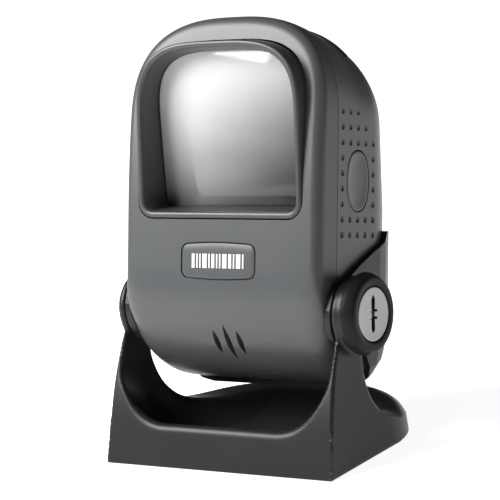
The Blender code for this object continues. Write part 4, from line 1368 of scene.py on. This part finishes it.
    def build_light_bar(self) -> None:
        """The smoked status light across the crown."""
        strip = self.light_bar(14.0, 17.0, 0.45, 2.6, self.light_reach)
        item = self.bench.raw("status_light_lens", strip, self.frames.head)
        self.bench.soften(item, 0.25)
        self.bench.dress(item, "smoked_lens", "scan_head", ["status_light_bar"])

    def leaning(self, outline: Sequence[Point2], depth: float, share: float = 1.0) -> Ring:
        """A window outline at a depth, leaned by a share of the glass's lean."""
        return [(x, depth - self.glass_lean * share * z, z) for x, z in outline]

    def build_bezel(self) -> None:
        """The window's rim and the tunnel that runs back to the glass."""
        taper, sill, rim = 1.2, 1.3, 2.3
        edge = [(self.bezel_depth, 0.0), (1.2, 0.0), (0.55, -0.06), (0.2, -0.25), (0.0, -0.6)]
        edge += [(-0.02, -1.15), (0.05, -1.7), (0.3, -2.08), (0.75, -rim)]
        spots = [(depth, grow, 0.0) for depth, grow in edge]
        spots += [(0.75 + (self.bezel_depth - 0.75) * i / 5, -rim - taper * i / 5, (sill - taper) * i / 5)
                  for i in range(1, 6)]
        rings = []
        for depth, grow, lift in spots:
            share = max(depth - 1.2, 0.0) / (self.bezel_depth - 1.2)
            rings.append(self.leaning(window_outline(grow, lift), depth, share))
        item = self.bench.raw("window_bezel_rim", self.bench.loft(rings, closed=True), self.frames.window)
        # The bezel wears the darker copy of the shell grey: painted shade over the rim and tunnel.
        self.bench.dress(item, "shell_grey", "scan_head", ["window_bezel"], "bezel_grey")

    def build_glass(self) -> None:
        """The glass pane and the black gasket that it is clamped against."""
        start = self.bezel_depth + GAP
        inner = window_outline(-3.5, 0.1)
        outer = window_outline(-0.6)
        corners = ((start, outer), (start, inner), (start + 0.7, inner), (start + 0.7, outer))
        rings = [self.leaning(outline, depth) for depth, outline in corners]
        frame_shape = self.bench.loft(rings, closed=True)
        gasket = self.bench.raw("window_gasket_frame", frame_shape, self.frames.window)
        self.bench.dress(gasket, "rubber", "scan_head", ["window_gasket"])
        pane = window_outline(-2.6, 0.1)
        start += 1.0
        rings = [self.leaning(pane, depth) for depth in (start, start + 1.5)]
        glass = self.bench.raw("window_pane", self.bench.loft(rings), self.frames.window)
        self.bench.soften(glass, 0.2)
        self.bench.dress(glass, "window_glass", "scan_head", ["window_glass"])

    def build_badge(self) -> None:
        """The blank badge plate with a row of raised bars."""
        place = self.frames.on_head(0, 0, self.badge_z)
        front = self.form.front
        rings = []
        for depth, grow in ((1.0, 0.0), (0.3, 0.0), (0.06, -0.12), (-0.04, -0.5), (-0.1, -2.2)):
            rings.append([(x, front + depth, z) for x, z in self.badge_outline(grow - 0.05)])
        plate = self.bench.raw("badge_plate_blank", self.bench.loft(rings), place)
        self.bench.dress(plate, "shell_grey", "scan_head", ["badge_plate"])
        bars = bmesh.new()
        widths = (1.3, 0.6, 0.6, 1.9, 0.6, 1.3, 0.6, 0.6, 1.9, 1.3, 0.6, 1.9, 0.6)
        spacing = 0.72
        x = -(sum(widths) + spacing * (len(widths) - 1)) / 2
        for width in widths:
            outline = rectangle((x, -2.5), (x + width, 2.5))
            self.bench.prism(outline, front + 0.1, front - 0.24, Axis.Y, bars)
            x += width + spacing
        marks = self.bench.raw("badge_bars", bars, place)
        self.bench.dress(marks, "shell_grey", "scan_head", (), "mark_grey")

    def button_outline(self, grow: float, steps: int = 64) -> list[Point2]:
        """The side button's outline, a superellipse grown all round."""
        power = self.button_power
        points = []
        for step in range(steps):
            turn = 2 * math.pi * step / steps
            across, up = math.cos(turn), math.sin(turn)
            reach = (abs(across) ** power + abs(up) ** power) ** (-1 / power)
            half_y, half_z = self.button_half[0] + grow, self.button_half[1] + grow
            points.append((reach * across * half_y, reach * up * half_z))
        return points

    def build_buttons(self) -> None:
        """The two dished side buttons, each on its own body."""
        y, z = self.button_centre
        face = self.form.side_face(y)
        for side in Side:
            levels = [(-4.6, 1.3), (-3.2, 1.3), (-3.2, 0.0), (-0.5, 0.0), (-0.16, -0.08), (-0.02, -0.32)]
            levels += [(0.0, -0.7), (-0.06, -1.2), (-0.24, -2.2), (-0.4, -3.6), (-0.5, -5.2), (-0.54, -6.9)]
            rings = []
            for level, grow in levels:
                shear = self.form.side_taper if level > -3.0 else 0.0
                outline = self.button_outline(grow)
                rings.append([(side.value * (face + level - shear * a), a, b) for a, b in outline])
            place = self.frames.on_head(0, y, z)
            item = self.bench.raw("trigger_cap_" + side.label, self.bench.loft(rings), place)
            body = "trigger_" + side.label
            self.bench.dress(item, "shell_grey", body, ["trigger_button_" + side.label])


@dataclass
class Fasteners:
    """Screws with a cross recess, over the CAD screws."""

    bench: Bench
    frames: Frames

    def build(self, nodes: dict[str, bpy.types.Object], prefix: str, body: str, axis: Axis, out: int) -> None:
        """Replace each screw whose name starts with a prefix.

        Args:
            nodes: The CAD nodes.
            prefix: Start of the nodes' names.
            body: The body they ride on.
            axis: The direction of their shanks.
            out: 1 where the head points along the axis, -1 where it points against it.
        """
        base = self.frames.head if axis is Axis.Y else self.frames.stand
        for name in sorted(n for n in nodes if n.startswith(prefix)):
            points = [base.inverted() @ v.co / MM for v in nodes[name].data.vertices]
            low = Vector(min(p[i] for p in points) for i in range(3))
            high = Vector(max(p[i] for p in points) for i in range(3))
            index = 1 if axis is Axis.Y else 2
            top = high[index] if out > 0 else low[index]
            length = high[index] - low[index]
            profile = [(top - out * length, 1.0), (top - out * 0.9, 1.25), (top - out * 0.85, 2.4)]
            profile += [(top - out * 0.35, 2.5), (top - out * 0.1, 2.25), (top, 1.7)]
            where = (low + high) / 2
            where[index] = 0.0
            place = base @ Matrix.Translation(where * MM)
            item = self.bench.raw(name + "_cross", self.bench.turned(profile, 32, axis), place)
            for long, short in ((1.6, 0.32), (0.32, 1.6)):
                outline = rectangle((-long, -short), (long, short))
                self.bench.cut(item, self.bench.prism(outline, top - out * 0.6, top + out * 1.0, axis), place)
            self.bench.dress(item, "zinc_steel", body, [name])


# --- Stage


@dataclass
class Studio:
    """Camera, lights and floor."""

    frames: Frames
    camera_mm: Point3 = (504.52, -638.543, 247.962)
    azimuth: float = 0.641511
    pitch: float = 0.207047
    roll: float = -0.132697
    focal_ratio: float = 4.857658
    sensor: float = 36.0
    lights: tuple[tuple[str, Point3, Point3, Point2, float], ...] = (
        ("key", (-0.66, -0.62, 0.74), (0.0, 0.0, 0.09), (0.7, 0.62), 27.0),
        ("left_fill", (-1.1, -0.9, 0.35), (0.0, 0.0, 0.08), (0.35, 0.7), 0.5),
        ("right_fill", (1.2, -0.35, 0.75), (0.0, 0.0, 0.09), (0.4, 0.6), 0.7),
    )

    def add_camera(self) -> None:
        """The camera, level with the object's waist, to its front right, and rolled a little."""
        sin_a, cos_a = math.sin(self.azimuth), math.cos(self.azimuth)
        sin_p, cos_p = math.sin(self.pitch), math.cos(self.pitch)
        ahead = Vector((-sin_a * cos_p, cos_a * cos_p, -sin_p))
        right = Vector((cos_a, sin_a, 0.0))
        up = right.cross(ahead)
        right, up = (right * math.cos(self.roll) + up * math.sin(self.roll),
                     up * math.cos(self.roll) - right * math.sin(self.roll))
        data = bpy.data.cameras.new("camera")
        data.sensor_width = self.sensor
        data.lens = self.focal_ratio * self.sensor
        camera = bpy.data.objects.new("camera", data)
        turn = Matrix((right, up, -ahead)).transposed().to_4x4()
        camera.matrix_world = Matrix.Translation(self.frames.stand @ (Vector(self.camera_mm) * MM)) @ turn
        bpy.context.scene.collection.objects.link(camera)
        bpy.context.scene.camera = camera

    def add_floor(self) -> None:
        """A wide pale floor."""
        shape = bmesh.new()
        bmesh.ops.create_grid(shape, x_segments=8, y_segments=8, size=6.0 / MM)
        floor = Bench.raw("floor", shape, Matrix.Identity(4))
        shader = Shader("pale_floor")
        shader.set(Base_Color=(0.86, 0.86, 0.86), Roughness=0.9, Specular_IOR_Level=0.1)
        shader.set(Emission_Color=(1.0, 1.0, 1.0), Emission_Strength=0.9)
        floor.data.materials.append(shader.material)

    @staticmethod
    def add_light(name: str, place: Point3, aim: Point3, size: Point2, power: float) -> None:
        """A soft rectangular light.

        Args:
            name: Its name.
            place: Where it stands, in metres.
            aim: Where it points.
            size: Its width and height in metres.
            power: Its power in watts.
        """
        data = bpy.data.lights.new(name, "AREA")
        data.shape = "RECTANGLE"
        data.size, data.size_y = size
        data.energy = power
        lamp = bpy.data.objects.new(name, data)
        lamp.location = place
        lamp.rotation_euler = (Vector(aim) - Vector(place)).to_track_quat("-Z", "Y").to_euler()
        bpy.context.scene.collection.objects.link(lamp)

    def build(self) -> None:
        """Set up the whole stage."""
        self.add_camera()
        self.add_floor()
        for light in self.lights:
            self.add_light(*light)
        world = bpy.data.worlds.new("studio")
        world.use_nodes = True
        background = world.node_tree.nodes["Background"].inputs
        background["Color"].default_value = (0.9, 0.92, 0.95, 1.0)
        background["Strength"].default_value = 0.06
        bpy.context.scene.world = world
        bpy.context.scene.view_settings.view_transform = "Standard"


def dress_kept_nodes(finishes: Finishes, record: dict, nodes: dict[str, bpy.types.Object]) -> None:
    """Give every CAD node that still shows the finish of its slot.

    Args:
        finishes: The object's finishes.
        record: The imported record.
        nodes: The CAD nodes.
    """
    slots = {part["node"]: part["material_slot"] for part in record["subparts"]}
    for name, item in sorted(nodes.items()):
        if item.hide_render:
            continue
        item.data.materials.clear()
        item.data.materials.append(finishes[slots[name]])
        for polygon in item.data.polygons:
            polygon.material_index = 0
        LOG.info("kept %s as %s", name, slots[name])


def main() -> None:
    """Build every sub-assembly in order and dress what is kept."""
    logging.basicConfig(level=logging.INFO, format="%(message)s")
    frames = Frames(frame["joints"])
    Studio(frames).build()
    finishes = Finishes()
    bench = Bench(finishes)
    nodes = frame["nodes"]
    stand = Stand(bench, frames)
    stand.build_moulding()
    stand.build_cap()
    stand.build_weight()
    stand.build_feet(nodes)
    Knob(bench, frames).build()
    form = HeadForm()
    head = ScanHead(bench, frames, form)
    head.build_front_shell()
    head.build_rear_shell()
    head.build_light_bar()
    head.build_bezel()
    head.build_glass()
    head.build_badge()
    head.build_buttons()
    fasteners = Fasteners(bench, frames)
    fasteners.build(nodes, "shell_screw_", "scan_head", Axis.Y, 1)
    fasteners.build(nodes, "base_screw_", "stand", Axis.Z, -1)
    dress_kept_nodes(finishes, frame["record"], nodes)


if __name__ == "__main__":
    main()
